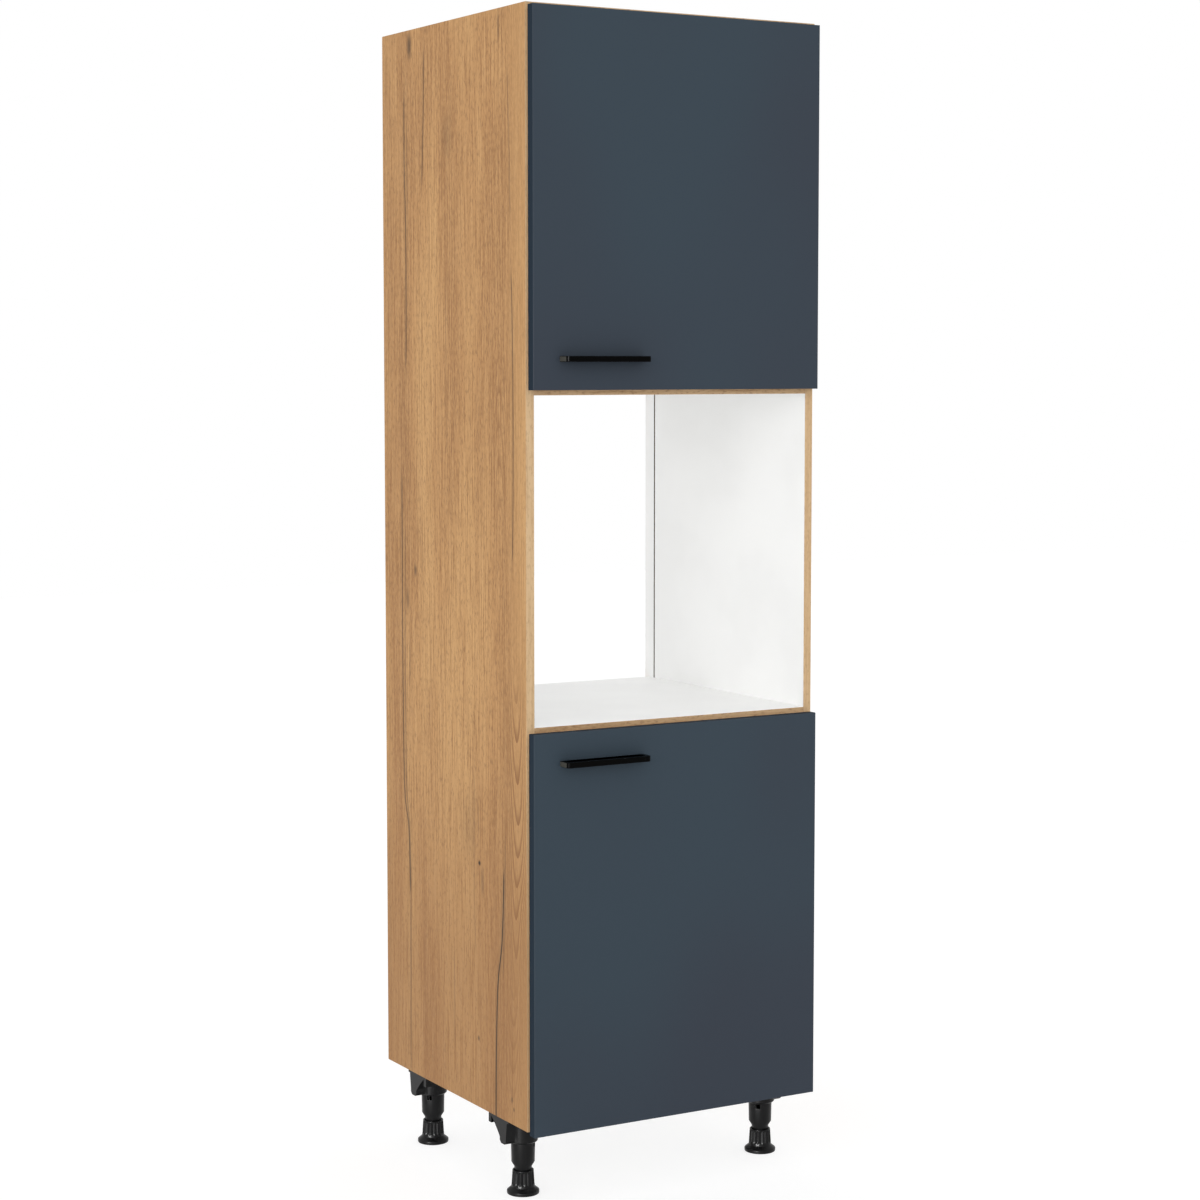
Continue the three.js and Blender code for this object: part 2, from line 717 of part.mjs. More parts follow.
/** Leg bracket: socket for the tube under a screw plate, with a pad that carries the side panel's edge. */
function legBracket() {
  const padBottom = legHeight - padHeight;
  const plateBottom = legHeight - bracketPlateThickness;
  const socket = turned([
    [0, socketBottom],
    [socketRadius - socketChamfer, socketBottom],
    [socketRadius, socketBottom + socketChamfer],
    [socketRadius, legHeight],
    [0, legHeight],
  ]);

  const plan = new THREE.Shape();
  plan.moveTo(-bracketReach, -socketRadius * 0.8);
  plan.lineTo(-bracketPlateRadius * 0.7, -bracketPlateRadius * 0.72);
  plan.absarc(0, 0, bracketPlateRadius, -0.75 * Math.PI, 0.55 * Math.PI, false);
  plan.lineTo(-bracketReach + lugWidth, bracketTail);
  plan.lineTo(-bracketReach, bracketTail);
  plan.closePath();
  const plate = prism(plan, plateBottom, legHeight, 12);

  // Seen from outside the cabinet, the pad is straight below and flares out towards the lug above.
  const face = new THREE.Shape();
  const straightTop = padBottom + padStraightHeight;
  face.moveTo(-padHalfWidth + padCorner, padBottom);
  face.lineTo(padHalfWidth - padCorner, padBottom);
  face.lineTo(padHalfWidth, padBottom + padCorner);
  face.lineTo(padHalfWidth, straightTop);
  face.quadraticCurveTo(
    padHalfWidth + padFlareReach,
    plateBottom - padFlareDrop,
    bracketTail - lugLength,
    plateBottom,
  );
  face.lineTo(bracketTail - lugLength, legHeight);
  face.lineTo(-padHalfWidth - padCorner, legHeight);
  face.lineTo(-padHalfWidth, straightTop);
  face.lineTo(-padHalfWidth, padBottom + padCorner);
  face.closePath();
  // The outline's x runs back along the cabinet, its y up, and it is extruded inwards along +X.
  const pad = prism(face, -bracketReach, -socketRadius * 0.5).applyMatrix4(new THREE.Matrix4().makeBasis(
    new THREE.Vector3(0, 1, 0),
    new THREE.Vector3(0, 0, 1),
    new THREE.Vector3(1, 0, 0),
  ));
  const lug = block(
    [-bracketReach, bracketTail - lugLength, legHeight - lugHeight],
    [-bracketReach + lugWidth, bracketTail, legHeight],
  );
  const bore = rod('z', socketBore, socketBottom - 1, plateBottom, roundSegments);
  const openings = windows(-1, socketRadius, bracketWindowRise);
  return cut(join(socket, plate, pad, lug), bore, openings);
}

const legCorners = [
  { name: 'front_left', side: -1, end: -1 },
  { name: 'front_right', side: 1, end: -1 },
  { name: 'rear_left', side: -1, end: 1 },
  { name: 'rear_right', side: 1, end: 1 },
];
for (const { name, side, end } of legCorners) {
  const x = side * (carcassHalf - legSideInset);
  const y = end < 0 ? carcassFront + legFrontInset : carcassRear - legRearInset;
  carcass.add(assembly(
    [x, y, 0],
    piece(`${name}_leg_bracket`, mirrored(legBracket(), -side, -end), blackPlastic),
    piece(`${name}_leg_tube`, legTube(-side * end), blackPlastic),
    piece(`${name}_adjustable_foot`, adjustableFoot(), blackPlastic),
  ));
}

export default carcass;
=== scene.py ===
"""Looks of the tall oven housing unit: board decors, fronts, handles, hinges, legs, light and camera.

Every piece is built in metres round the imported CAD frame. Sizes in the classes below are in millimetres.
"""
import logging
import math
import random
from collections.abc import Sequence
from dataclasses import dataclass
from enum import Enum, StrEnum
from itertools import pairwise, product

import bmesh
import bpy
from mathutils import Euler, Matrix, Vector


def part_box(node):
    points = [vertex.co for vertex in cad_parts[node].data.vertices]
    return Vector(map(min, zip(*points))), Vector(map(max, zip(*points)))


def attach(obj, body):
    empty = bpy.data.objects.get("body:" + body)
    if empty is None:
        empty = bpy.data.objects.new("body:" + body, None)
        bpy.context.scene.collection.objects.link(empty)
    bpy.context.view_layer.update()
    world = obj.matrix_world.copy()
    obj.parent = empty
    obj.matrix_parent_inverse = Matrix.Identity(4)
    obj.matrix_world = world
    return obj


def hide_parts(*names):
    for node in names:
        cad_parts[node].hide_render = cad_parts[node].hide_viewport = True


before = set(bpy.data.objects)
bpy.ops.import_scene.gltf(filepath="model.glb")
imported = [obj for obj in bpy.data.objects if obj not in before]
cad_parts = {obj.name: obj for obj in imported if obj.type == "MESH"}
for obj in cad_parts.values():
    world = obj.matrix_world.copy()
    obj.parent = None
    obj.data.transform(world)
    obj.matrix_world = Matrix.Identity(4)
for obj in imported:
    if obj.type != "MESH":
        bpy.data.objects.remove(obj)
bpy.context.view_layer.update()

log = logging.getLogger("oven_housing")

# A millimetre in metres, and a metre in millimetres.
MM = 0.001
METRE = 1000.0
# Points of a CAD solid nearer than this many metres are one point.
WELD = 2e-6
# Faces of a CAD solid that meet at less than this angle are one face.
FLAT = math.radians(0.3)
# Two heights nearer than this many metres are the same.
TOUCH = 1e-7
MATH = "ShaderNodeMath"

Mesh = bmesh.types.BMesh
Piece = bpy.types.Object
Socket = bpy.types.NodeSocket
Node = bpy.types.Node
Tree = bpy.types.NodeTree
Pair = tuple[float, float]
Triple = tuple[float, float, float]
Inputs = dict[str | int, object]

X, Y, Z = range(3)


class Slot(Enum):
    """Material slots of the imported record."""

    OAK = "oak_board"
    WHITE = "white_board"
    HARDBOARD = "white_hardboard"
    FRONT = "blue_front"
    HANDLE = "black_metal"
    ZINC = "zinc_steel"
    NICKEL = "nickel_steel"
    PLASTIC = "black_plastic"


class Grain(Enum):
    """The axis that a wood decor's grain runs along."""

    UPRIGHT = 2
    LEVEL = 0


class Level(StrEnum):
    """The two compartments behind doors."""

    LOWER = "lower"
    UPPER = "upper"


class Corner(StrEnum):
    """The four legs."""

    FRONT_LEFT = "front_left"
    FRONT_RIGHT = "front_right"
    REAR_LEFT = "rear_left"
    REAR_RIGHT = "rear_right"


# ---------------------------------------------------------------- nodes and meshes


def linear(colour: str) -> tuple[float, float, float, float]:
    """Turns an sRGB colour into a linear one.

    Args:
        colour: The colour as six hex digits, such as "D6A978".

    Returns:
        Linear red, green, blue and alpha.
    """
    channels = [int(colour[i : i + 2], 16) / 255 for i in (0, 2, 4)]
    red, green, blue = (c / 12.92 if c <= 0.04045 else ((c + 0.055) / 1.055) ** 2.4 for c in channels)
    return (red, green, blue, 1.0)


def add_node(tree: Tree, kind: str, inputs: Inputs | None = None, **settings: object) -> Node:
    """Adds one node with its settings, values and links.

    Args:
        tree: The tree that gets the node.
        kind: Blender's name of the node type.
        inputs: Values, or other nodes' output sockets, by input name or number.
        settings: The node's own properties.

    Returns:
        The new node.
    """
    node = tree.nodes.new(kind)
    for name, value in settings.items():
        setattr(node, name, value)
    for socket, value in (inputs or {}).items():
        if isinstance(value, Socket):
            tree.links.new(value, node.inputs[socket])
        else:
            node.inputs[socket].default_value = value
    return node


def own_tree(owner: bpy.types.ID) -> Tree:
    """Gives a material or a world an empty node tree.

    Args:
        owner: The material or world.

    Returns:
        Its tree.
    """
    owner.use_nodes = True
    owner.node_tree.nodes.clear()
    return owner.node_tree


def in_scene(name: str, data: bpy.types.ID) -> Piece:
    """Makes an object at the origin of the scene.

    Args:
        name: The object's name.
        data: Its mesh, lamp or camera.

    Returns:
        The object.
    """
    made = bpy.data.objects.new(name, data)
    bpy.context.scene.collection.objects.link(made)
    return made


def new_object(name: str, mesh: Mesh) -> Piece:
    """Makes an object from a mesh under construction.

    Args:
        name: The object's name.
        mesh: The mesh under construction, which is freed.

    Returns:
        The object.
    """
    data = bpy.data.meshes.new(name)
    mesh.to_mesh(data)
    mesh.free()
    return in_scene(name, data)


def settle(piece: Piece) -> Piece:
    """Turns an object and its modifiers into one plain mesh.

    Args:
        piece: The object.

    Returns:
        The same object, without modifiers.
    """
    bpy.context.view_layer.update()
    graph = bpy.context.evaluated_depsgraph_get()
    made = piece.evaluated_get(graph)
    mesh = bpy.data.meshes.new_from_object(made, preserve_all_data_layers=True, depsgraph=graph)
    piece.modifiers.clear()
    piece.data = mesh
    return piece


def smooth(piece: Piece, crease: float) -> Piece:
    """Shades curves smooth and keeps flat faces flat.

    Args:
        piece: The object.
        crease: Edges sharper than this many degrees stay sharp.

    Returns:
        The same object.
    """
    piece.data.shade_smooth()
    piece.data.set_sharp_from_angle(angle=math.radians(crease))
    piece.modifiers.new("weighted normals", "WEIGHTED_NORMAL").keep_sharp = True
    return settle(piece)


def filleted(corners: Sequence[Triple], steps: int, closed: bool = False) -> list[Pair]:
    """Rounds the corners of a flat line.

    Args:
        corners: Each corner's two coordinates and its radius.
        steps: Faces across each rounding.
        closed: Whether the last corner joins the first.

    Returns:
        The points of the rounded line.
    """
    points: list[Pair] = []
    count = len(corners)
    for index, (x, y, radius) in enumerate(corners):
        if radius <= 0 or (not closed and index in (0, count - 1)):
            points.append((x, y))
            continue
        here = Vector((x, y))
        back = (Vector(corners[index - 1][:2]) - here).normalized()
        ahead = (Vector(corners[(index + 1) % count][:2]) - here).normalized()
        half = back.angle(ahead) / 2
        centre = here + (back + ahead).normalized() * radius / math.sin(half)
        start = here + back * radius / math.tan(half) - centre
        turn = math.pi - 2 * half
        if back.x * ahead.y - back.y * ahead.x > 0:
            turn = -turn
        for step in range(steps + 1):
            swing = turn * step / steps
            across = start.x * math.cos(swing) - start.y * math.sin(swing)
            along = start.x * math.sin(swing) + start.y * math.cos(swing)
            points.append((centre.x + across, centre.y + along))
    return points


def turned(profile: Sequence[Pair], segments: int) -> Mesh:
    """Turns a line of radius and height round Z.

    Args:
        profile: Points in millimetres, from one end on the axis to the other.
        segments: Faces round the turn.

    Returns:
        A closed mesh in metres.
    """
    mesh = bmesh.new()
    angles = [2 * math.pi * step / segments for step in range(segments)]
    rings = []
    for radius, height in profile:
        if radius < 1e-6:
            rings.append([mesh.verts.new((0, 0, height * MM))] * segments)
            continue
        ring = [(radius * math.cos(a) * MM, radius * math.sin(a) * MM, height * MM) for a in angles]
        rings.append([mesh.verts.new(spot) for spot in ring])
    for low, high in pairwise(rings):
        for here in range(segments):
            after = (here + 1) % segments
            corners = list(dict.fromkeys((low[here], low[after], high[after], high[here])))
            if len(corners) > 2:
                mesh.faces.new(corners)
    bmesh.ops.recalc_face_normals(mesh, faces=mesh.faces)
    return mesh


def facing(way: Sequence[float], spin: float = 0.0) -> Euler:
    """The turn that points Z a given way after a spin round itself."""
    return (Vector(way).to_track_quat("Z", "Y").to_matrix() @ Matrix.Rotation(spin, 3, "Z")).to_euler()


def box_mm(node: str) -> list[Vector]:
    """The lowest and the highest corner of a CAD node's box, in millimetres."""
    return [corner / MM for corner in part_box(node)]


@dataclass(frozen=True)
class Skin:
    """The faces of a piece that lie near one side of its CAD box and turn that way.

    Attributes:
        finish: Their finish.
        axis: The side's axis.
        way: -1 for the axis's low side, 1 for its high side.
        depth: How far into the box the skin reaches, in millimetres.
        lean: Least part of the faces' normals along that way; at -2 they may turn any way.
    """

    finish: "Finish"
    axis: int
    way: int
    depth: float = METRE
    lean: float = -2.0

    def holds(self, face: bpy.types.MeshPolygon, box: Sequence[Vector]) -> bool:
        """Whether a face of the piece lies in the skin."""
        inset = abs(face.center[self.axis] / MM - box[self.way > 0][self.axis])
        return inset < self.depth and face.normal[self.axis] * self.way > self.lean


def dress(piece: Piece, node: str, rest: "Finish", *skins: Skin) -> None:
    """Gives each face of a piece its finish.

    Args:
        piece: The object to dress.
        node: The CAD node whose box the skins are measured from.
        rest: The finish of the faces in no skin.
        skins: The skins; a face in more than one gets the first one's finish.
    """
    box = box_mm(node)
    finishes = list(dict.fromkeys([rest, *(skin.finish for skin in skins)]))
    for finish in finishes:
        piece.data.materials.append(finish.material())
    for face in piece.data.polygons:
        found = next((skin.finish for skin in skins if skin.holds(face, box)), rest)
        face.material_index = finishes.index(found)


def seat(piece: Piece, body: str, slot: Slot, *nodes: str) -> None:
    """Hands a finished piece to its CAD body and reports it.

    Args:
        piece: The finished piece.
        body: The CAD body that carries it.
        slot: The record's material slot; not used.
        nodes: The CAD nodes that it stands for.
    """
    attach(piece, body)
    if nodes:
        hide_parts(*nodes)
    log.info("%-34s %6d faces on %s", piece.name, len(piece.data.polygons), body)


def refine(
    node: str,
    kind: str,
    body: str,
    slot: Slot,
    rest: "Finish",
    *skins: Skin,
    arris: float = 0.3,
    steps: int = 2,
    edge: float = 35.0,
    crease: float = 35.0,
) -> None:
    """Takes a CAD solid over as one merged mesh, rounds its outer edges, dresses it and seats it.

    Args:
        node: The CAD node.
        kind: The end of the new piece's name.
        body: The CAD body that carries it.
        slot: The record's material slot.
        rest: The finish of the faces in no skin.
        skins: The skins.
        arris: Width of the rounding in millimetres.
        steps: Faces across the rounding.
        edge: Edges sharper than this many degrees are rounded.
        crease: Edges sharper than this many degrees stay sharp in the shading.
    """
    mesh = bmesh.new()
    mesh.from_mesh(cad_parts[node].data)
    bmesh.ops.remove_doubles(mesh, verts=mesh.verts, dist=WELD)
    bmesh.ops.dissolve_limit(mesh, angle_limit=FLAT, verts=mesh.verts, edges=mesh.edges)
    limit = math.radians(edge)
    convex = [e for e in mesh.edges if len(e.link_faces) == 2 and e.is_convex]
    outer = [e for e in convex if e.calc_face_angle(0) > limit]
    bmesh.ops.bevel(
        mesh, geom=outer, offset=arris * MM, segments=steps, profile=0.5, affect="EDGES", clamp_overlap=True
    )
    piece = new_object(f"{node}_{kind}", mesh)
    dress(piece, node, rest, *skins)
    seat(smooth(piece, crease), body, slot, node)


# ---------------------------------------------------------------- finishes


class Canvas:
    """A material's node tree with its shader and object coordinates, for a finish to paint on."""

    def __init__(self, material: bpy.types.Material) -> None:
        """Empties the material's tree and sets up its shader.

        Args:
            material: The material to paint on.
        """
        self.tree = own_tree(material)
        self.shader = add_node(self.tree, "ShaderNodeBsdfPrincipled")
        add_node(self.tree, "ShaderNodeOutputMaterial", {"Surface": self.shader.outputs["BSDF"]})
        self.spot = add_node(self.tree, "ShaderNodeTexCoord").outputs["Object"]

    def streaks(self, size: Sequence[float], detail: float) -> Socket:
        """A cloudy pattern stretched to real sizes.

        Args:
            size: Width of a cloud along X, Y and Z, in millimetres.
            detail: Levels of finer clouds.

        Returns:
            Values round 0.5.
        """
        scale = [METRE / width for width in size]
        scaled = add_node(self.tree, "ShaderNodeMapping", {"Vector": self.spot, "Scale": scale}).outputs[0]
        look = {"Vector": scaled, "Scale": 1.0, "Detail": detail, "Roughness": 0.55}
        return add_node(self.tree, "ShaderNodeTexNoise", look).outputs[0]

    def window(self, value: Socket, start: float, end: float, top: float = 1.0) -> Socket:
        """A soft step of a value.

        Args:
            value: The value to step.
            start: Where the step leaves 0.
            end: Where it reaches its top; a start above the end falls instead of rising.
            top: The step's height.

        Returns:
            0 before the start, top after the end.
        """
        low, high, before, after = (start, end, 0.0, top) if start < end else (end, start, top, 0.0)
        reach = {"Value": value, "From Min": low, "From Max": high, "To Min": before, "To Max": after}
        return add_node(self.tree, "ShaderNodeMapRange", reach, interpolation_type="SMOOTHSTEP").outputs[0]

    def tone(self, base: str, *layers: tuple[Socket, str]) -> None:
        """Lays colours over each other and hands the result to the shader.

        Args:
            base: The lowest colour.
            layers: Share and colour of each layer above it.
        """
        under = linear(base)
        for share, colour in layers:
            blend = {0: share, 6: under, 7: linear(colour)}
            under = add_node(self.tree, "ShaderNodeMix", blend, data_type="RGBA").outputs[2]
        self.tree.links.new(under, self.shader.inputs["Base Color"])

    def gloss(self, pattern: Socket, smoothest: float, roughest: float) -> None:
        """Lets a pattern break the shine.

        Args:
            pattern: Values round 0.5.
            smoothest: Roughness where the pattern is lowest.
            roughest: Roughness where it is highest.
        """
        reach = {"Value": pattern, "From Min": 0.3, "From Max": 0.7}
        between = {"To Min": smoothest, "To Max": roughest}
        rough = add_node(self.tree, "ShaderNodeMapRange", reach | between).outputs[0]
        self.tree.links.new(rough, self.shader.inputs["Roughness"])

    def relief(self, height: Socket, depth: float, strength: float) -> None:
        """Presses a pattern into the surface.

        Args:
            height: The pattern, from 0 to 1.
            depth: Height of the pattern in millimetres.
            strength: Share of the pattern that shows.
        """
        press = {"Height": height, "Distance": depth * MM, "Strength": strength}
        bump = add_node(self.tree, "ShaderNodeBump", press).outputs[0]
        self.tree.links.new(bump, self.shader.inputs["Normal"])


@dataclass(frozen=True)
class Finish:
    """A surface finish that builds one material."""

    name: str
    roughness: float = 0.5
    specular: float = 0.5
    metallic: float = 0.0

    def material(self) -> bpy.types.Material:
        """Builds the finish's material, or finds it if it is there.

        Returns:
            The material.
        """
        made = bpy.data.materials.get(self.name)
        if not made:
            made = bpy.data.materials.new(self.name)
            canvas = Canvas(made)
            inputs = canvas.shader.inputs
            inputs["Roughness"].default_value = self.roughness
            inputs["Specular IOR Level"].default_value = self.specular
            inputs["Metallic"].default_value = self.metallic
            self.paint(canvas)
        return made

    def paint(self, canvas: Canvas) -> None:
        """Sets colour, gloss and relief; each finish has its own."""
        raise NotImplementedError


@dataclass(frozen=True)
class Sheet:
    """Places on the printed oak sheet: millimetres behind the carcass front and above the floor."""

    canvas: Canvas
    behind: Socket
    above: Socket
    sway: Socket


class Mark:
    """Something printed in the oak decor, placed in millimetres on its sheet."""

    def share(self, sheet: Sheet) -> Socket:
        """How much of the mark shows at each place, from 0 to its strength."""
        raise NotImplementedError


@dataclass(frozen=True)
class Crack(Mark):
    """A dark drying crack through points on the sheet, with a faint stain beside it."""

    points: tuple[Pair, ...]
    width: float
    strength: float
    longest_taper: float = 70.0
    taper_share: float = 0.4
    core: float = 0.35
    stain_reach: float = 3.5
    stain_core: float = 0.5
    stain_share: float = 0.2

    def share(self, sheet: Sheet) -> Socket:
        """The crack, which thins out towards both ends, and its stain.

        Args:
            sheet: The printed sheet.

        Returns:
            Strength in the crack, less in the stain, and 0 elsewhere.
        """
        canvas, tree, above = sheet.canvas, sheet.canvas.tree, sheet.above
        run = sorted(self.points, key=lambda point: point[1])
        low, high = run[0][1], run[-1][1]
        left = min(depth for depth, _ in run) - 1
        right = max(depth for depth, _ in run) + 1
        part = add_node(tree, "ShaderNodeMapRange", {"Value": above, "From Min": low, "From Max": high})
        course = add_node(tree, "ShaderNodeFloatCurve", {"Value": part.outputs[0]})
        bends = course.mapping.curves[0].points
        while len(bends) < len(run):
            bends.new(0.5, 0.5)
        for bend, (depth, height) in zip(bends, run):
            bend.location = ((height - low) / (high - low), (depth - left) / (right - left))
        course.mapping.update()
        away = course.outputs[0]
        for operation, others in (
            ("MULTIPLY_ADD", {1: right - left, 2: left}),
            ("SUBTRACT", {1: sheet.behind}),
            ("ABSOLUTE", {}),
        ):
            away = add_node(tree, MATH, {0: away, **others}, operation=operation).outputs[0]
        taper = min(self.longest_taper, self.taper_share * (high - low))
        for ending in (canvas.window(above, low + taper, low), canvas.window(above, high - taper, high)):
            widened = {0: ending, 1: 2 * self.width, 2: away}
            away = add_node(tree, MATH, widened, operation="MULTIPLY_ADD").outputs[0]
        line = canvas.window(away, self.width, self.core * self.width, self.strength)
        reach, full = self.stain_reach * self.width, self.stain_core * self.width
        stain = canvas.window(away, reach, full, self.stain_share * self.strength)
        return add_node(tree, MATH, {0: line, 1: stain}, operation="MAXIMUM").outputs[0]


@dataclass(frozen=True)
class Knot(Mark):
    """A knot, dark in the middle."""

    depth: float
    height: float
    half_width: float
    half_length: float
    strength: float
    rim: float = 1.5
    heart: float = 0.2

    def share(self, sheet: Sheet) -> Socket:
        """The knot, which fades out from its middle.

        Args:
            sheet: The printed sheet.

        Returns:
            Strength at the middle, falling to 0 outside.
        """
        tree = sheet.canvas.tree
        across: Inputs = {}
        for axis, (value, middle, half) in enumerate((
            (sheet.behind, self.depth, self.half_width),
            (sheet.above, self.height, self.half_length),
        )):
            centred = {0: value, 1: 1 / half, 2: -middle / half}
            across[axis] = add_node(tree, MATH, centred, operation="MULTIPLY_ADD").outputs[0]
        flat = add_node(tree, "ShaderNodeCombineXYZ", across).outputs[0]
        away = add_node(tree, "ShaderNodeVectorMath", {0: flat}, operation="LENGTH").outputs["Value"]
        return sheet.canvas.window(away, self.rim, self.heart, self.strength)


@dataclass(frozen=True)
class Arches(Mark):
    """Cathedral figure: arches nested along an upright axis; a negative steepness points them down."""

    depth: float
    reach: float
    low: float
    high: float
    spacing: float
    steepness: float
    strength: float
    drift: float = 2.5
    line_share: float = 0.5
    line_core: float = 0.05
    side_fade: Pair = (1.2, 0.8)
    end_fade: float = 0.25

    def share(self, sheet: Sheet) -> Socket:
        """The arches' late-wood lines, each sharp on one side.

        Args:
            sheet: The printed sheet.

        Returns:
            Strength on a line, 0 beside it and outside the figure.
        """
        canvas, tree, above = sheet.canvas, sheet.canvas.tree, sheet.above
        aside = add_node(tree, MATH, {0: sheet.behind, 1: self.depth}, operation="SUBTRACT").outputs[0]
        drift = add_node(tree, MATH, {0: sheet.sway, 1: self.drift}, operation="MULTIPLY").outputs[0]
        part = sheet.sway
        for operation, others in (
            ("MULTIPLY_ADD", {1: self.reach, 2: aside}),
            ("ADD", {1: -self.reach / 2}),
            ("POWER", {1: 2.0}),
            ("MULTIPLY_ADD", {1: self.steepness, 2: above}),
            ("MULTIPLY_ADD", {1: 1 / self.spacing, 2: drift}),
            ("FRACT", {}),
        ):
            part = add_node(tree, MATH, {0: part, **others}, operation=operation).outputs[0]
        line = canvas.window(part, self.line_share, self.line_core, self.strength)
        near = add_node(tree, MATH, {0: aside}, operation="ABSOLUTE").outputs[0]
        fade = self.end_fade * (self.high - self.low)
        for mask in (
            canvas.window(near, *(share * self.reach for share in self.side_fade)),
            canvas.window(above, self.low, self.low + fade),
            canvas.window(above, self.high, self.high - fade),
        ):
            line = add_node(tree, MATH, {0: line, 1: mask}, operation="MULTIPLY").outputs[0]
        return line


@dataclass(frozen=True)
class OakDecor(Finish):
    """Rustic oak decor: printed paper pressed in melamine resin on chipboard.

    Warm honey oak with long upright fibres, cathedral arches near the front edge, dark drying cracks and
    a few knots. The resin's pores are pressed in, so it is half matt. The real fibres and pores are tenths
    of a millimetre wide and the cracks 1 to 2 mm: they are drawn as coarse as they need to show.
    """

    name: str = "oak decor"
    specular: float = 0.25
    grain: Grain = Grain.UPRIGHT
    pale: str = "C69963"
    body: str = "B58653"
    deep: str = "91653A"
    pore: str = "775330"
    split: str = "2A1C10"
    front: float = 0.0
    figures: tuple[Mark, ...] = ()
    marks: tuple[Mark, ...] = ()
    # Widths across and along the grain in millimetres, and detail, of each pattern.
    tone: Triple = (120.0, 900.0, 1.0)
    bands: Triple = (15.0, 520.0, 2.0)
    fibres: Triple = (4.0, 150.0, 2.0)
    pores: Triple = (3.5, 10.0, 3.0)
    rings: Triple = (110.0, 800.0, 1.0)
    sway: Triple = (150.0, 420.0, 1.0)
    ring_count: float = 19.0
    shine: Pair = (0.50, 0.66)
    press: Pair = (0.12, 0.35)

    def grown(self, canvas: Canvas, across: float, along: float, detail: float) -> Socket:
        """A cloudy pattern that follows the grain.

        Args:
            canvas: The canvas to paint on.
            across: Width of a cloud across the grain, in millimetres.
            along: Its length along the grain.
            detail: Levels of finer clouds.

        Returns:
            Values round 0.5.
        """
        size = [across] * 3
        size[self.grain.value] = along
        return canvas.streaks(size, detail)

    def paint(self, canvas: Canvas) -> None:
        """Lays tone, fibres, pores, figure, cracks and knots over each other.

        Args:
            canvas: The canvas to paint on.
        """
        tree = canvas.tree
        sizes = (self.tone, self.bands, self.fibres, self.pores, self.rings)
        tone, bands, fibres, pores, rings = (self.grown(canvas, *size) for size in sizes)
        # Growth rings are the level lines of a slow cloud, dark on one side as late wood is.
        rings = add_node(tree, MATH, {0: rings, 1: self.ring_count}, operation="MULTIPLY").outputs[0]
        rings = add_node(tree, MATH, {0: rings}, operation="FRACT").outputs[0]
        # Each step: a pattern, where the colour sets in, where it is full, its share there, and the colour.
        steps = [
            (tone, 0.40, 0.62, 1.0, self.pale),
            (tone, 0.50, 0.34, 0.30, self.deep),
            (bands, 0.50, 0.70, 0.30, self.deep),
            (bands, 0.48, 0.32, 0.30, self.pale),
            (fibres, 0.50, 0.66, 0.62, self.deep),
            (fibres, 0.50, 0.34, 0.56, self.pale),
            (pores, 0.51, 0.68, 0.45, self.pore),
            (pores, 0.49, 0.32, 0.45, self.pale),
            (rings, 0.50, 0.0, 0.18, self.deep),
        ]
        printed: list[tuple[Socket, str]] = []
        if self.grain is Grain.UPRIGHT:
            axes = add_node(tree, "ShaderNodeSeparateXYZ", {0: canvas.spot}).outputs
            places = ({0: axes["Y"], 1: METRE, 2: -self.front}, {0: axes["Z"], 1: METRE, 2: 0.0})
            behind, above = (
                add_node(tree, MATH, place, operation="MULTIPLY_ADD").outputs[0] for place in places
            )
            # The board is paler at its front, and darker at its back and towards the floor.
            steps += [
                (behind, 90.0, 30.0, 0.42, self.pale),
                (behind, 470.0, 540.0, 0.16, self.deep),
                (above, 900.0, 300.0, 0.45, self.deep),
            ]
            sheet = Sheet(canvas, behind, above, self.grown(canvas, *self.sway))
            printed += [(mark.share(sheet), self.deep) for mark in self.figures]
            printed += [(mark.share(sheet), self.split) for mark in self.marks]
        canvas.tone(self.body, *[(canvas.window(*step), colour) for *step, colour in steps], *printed)
        canvas.gloss(fibres, *self.shine)
        canvas.relief(pores, *self.press)


@dataclass(frozen=True, kw_only=True)
class Grained(Finish):
    """Two close tones in clouds, under a fine grain that is pressed in and breaks the shine.

    Attributes:
        colour: The main tone.
        shade: The clouds' tone.
        cloud: Width of a cloud along X, Y and Z, in millimetres.
        cloud_detail: Levels of finer clouds.
        cloud_rim: Where in the pattern the clouds' tone sets in, and where it is full.
        grain: Width of the grain in millimetres.
        grain_detail: Levels of finer grain.
        shine: Roughness where the grain is lowest, and where it is highest.
        press: Depth of the grain in millimetres, and the share of it that shows.
    """

    colour: str
    shade: str
    cloud: Triple
    cloud_detail: float
    cloud_rim: Pair
    grain: float
    grain_detail: float
    shine: Pair
    press: Pair

    def paint(self, canvas: Canvas) -> None:
        """Paints the clouds and presses the grain in.

        Args:
            canvas: The canvas to paint on.
        """
        cloud = canvas.streaks(self.cloud, self.cloud_detail)
        grain = canvas.streaks([self.grain] * 3, self.grain_detail)
        canvas.tone(self.colour, (canvas.window(cloud, *self.cloud_rim), self.shade))
        canvas.gloss(grain, *self.shine)
        canvas.relief(grain, *self.press)


@dataclass(frozen=True)
class WhiteMelamine(Grained):
    """White melamine resin on chipboard: nearly flat white, with a fine pearl that breaks its shine."""

    name: str = "white melamine"
    specular: float = 0.35
    colour: str = "FBFBFA"
    shade: str = "F7F7F6"
    cloud: Triple = (160.0, 160.0, 160.0)
    cloud_detail: float = 2.0
    cloud_rim: Pair = (0.35, 0.65)
    grain: float = 1.6
    grain_detail: float = 1.0
    shine: Pair = (0.40, 0.52)
    press: Pair = (0.05, 0.3)


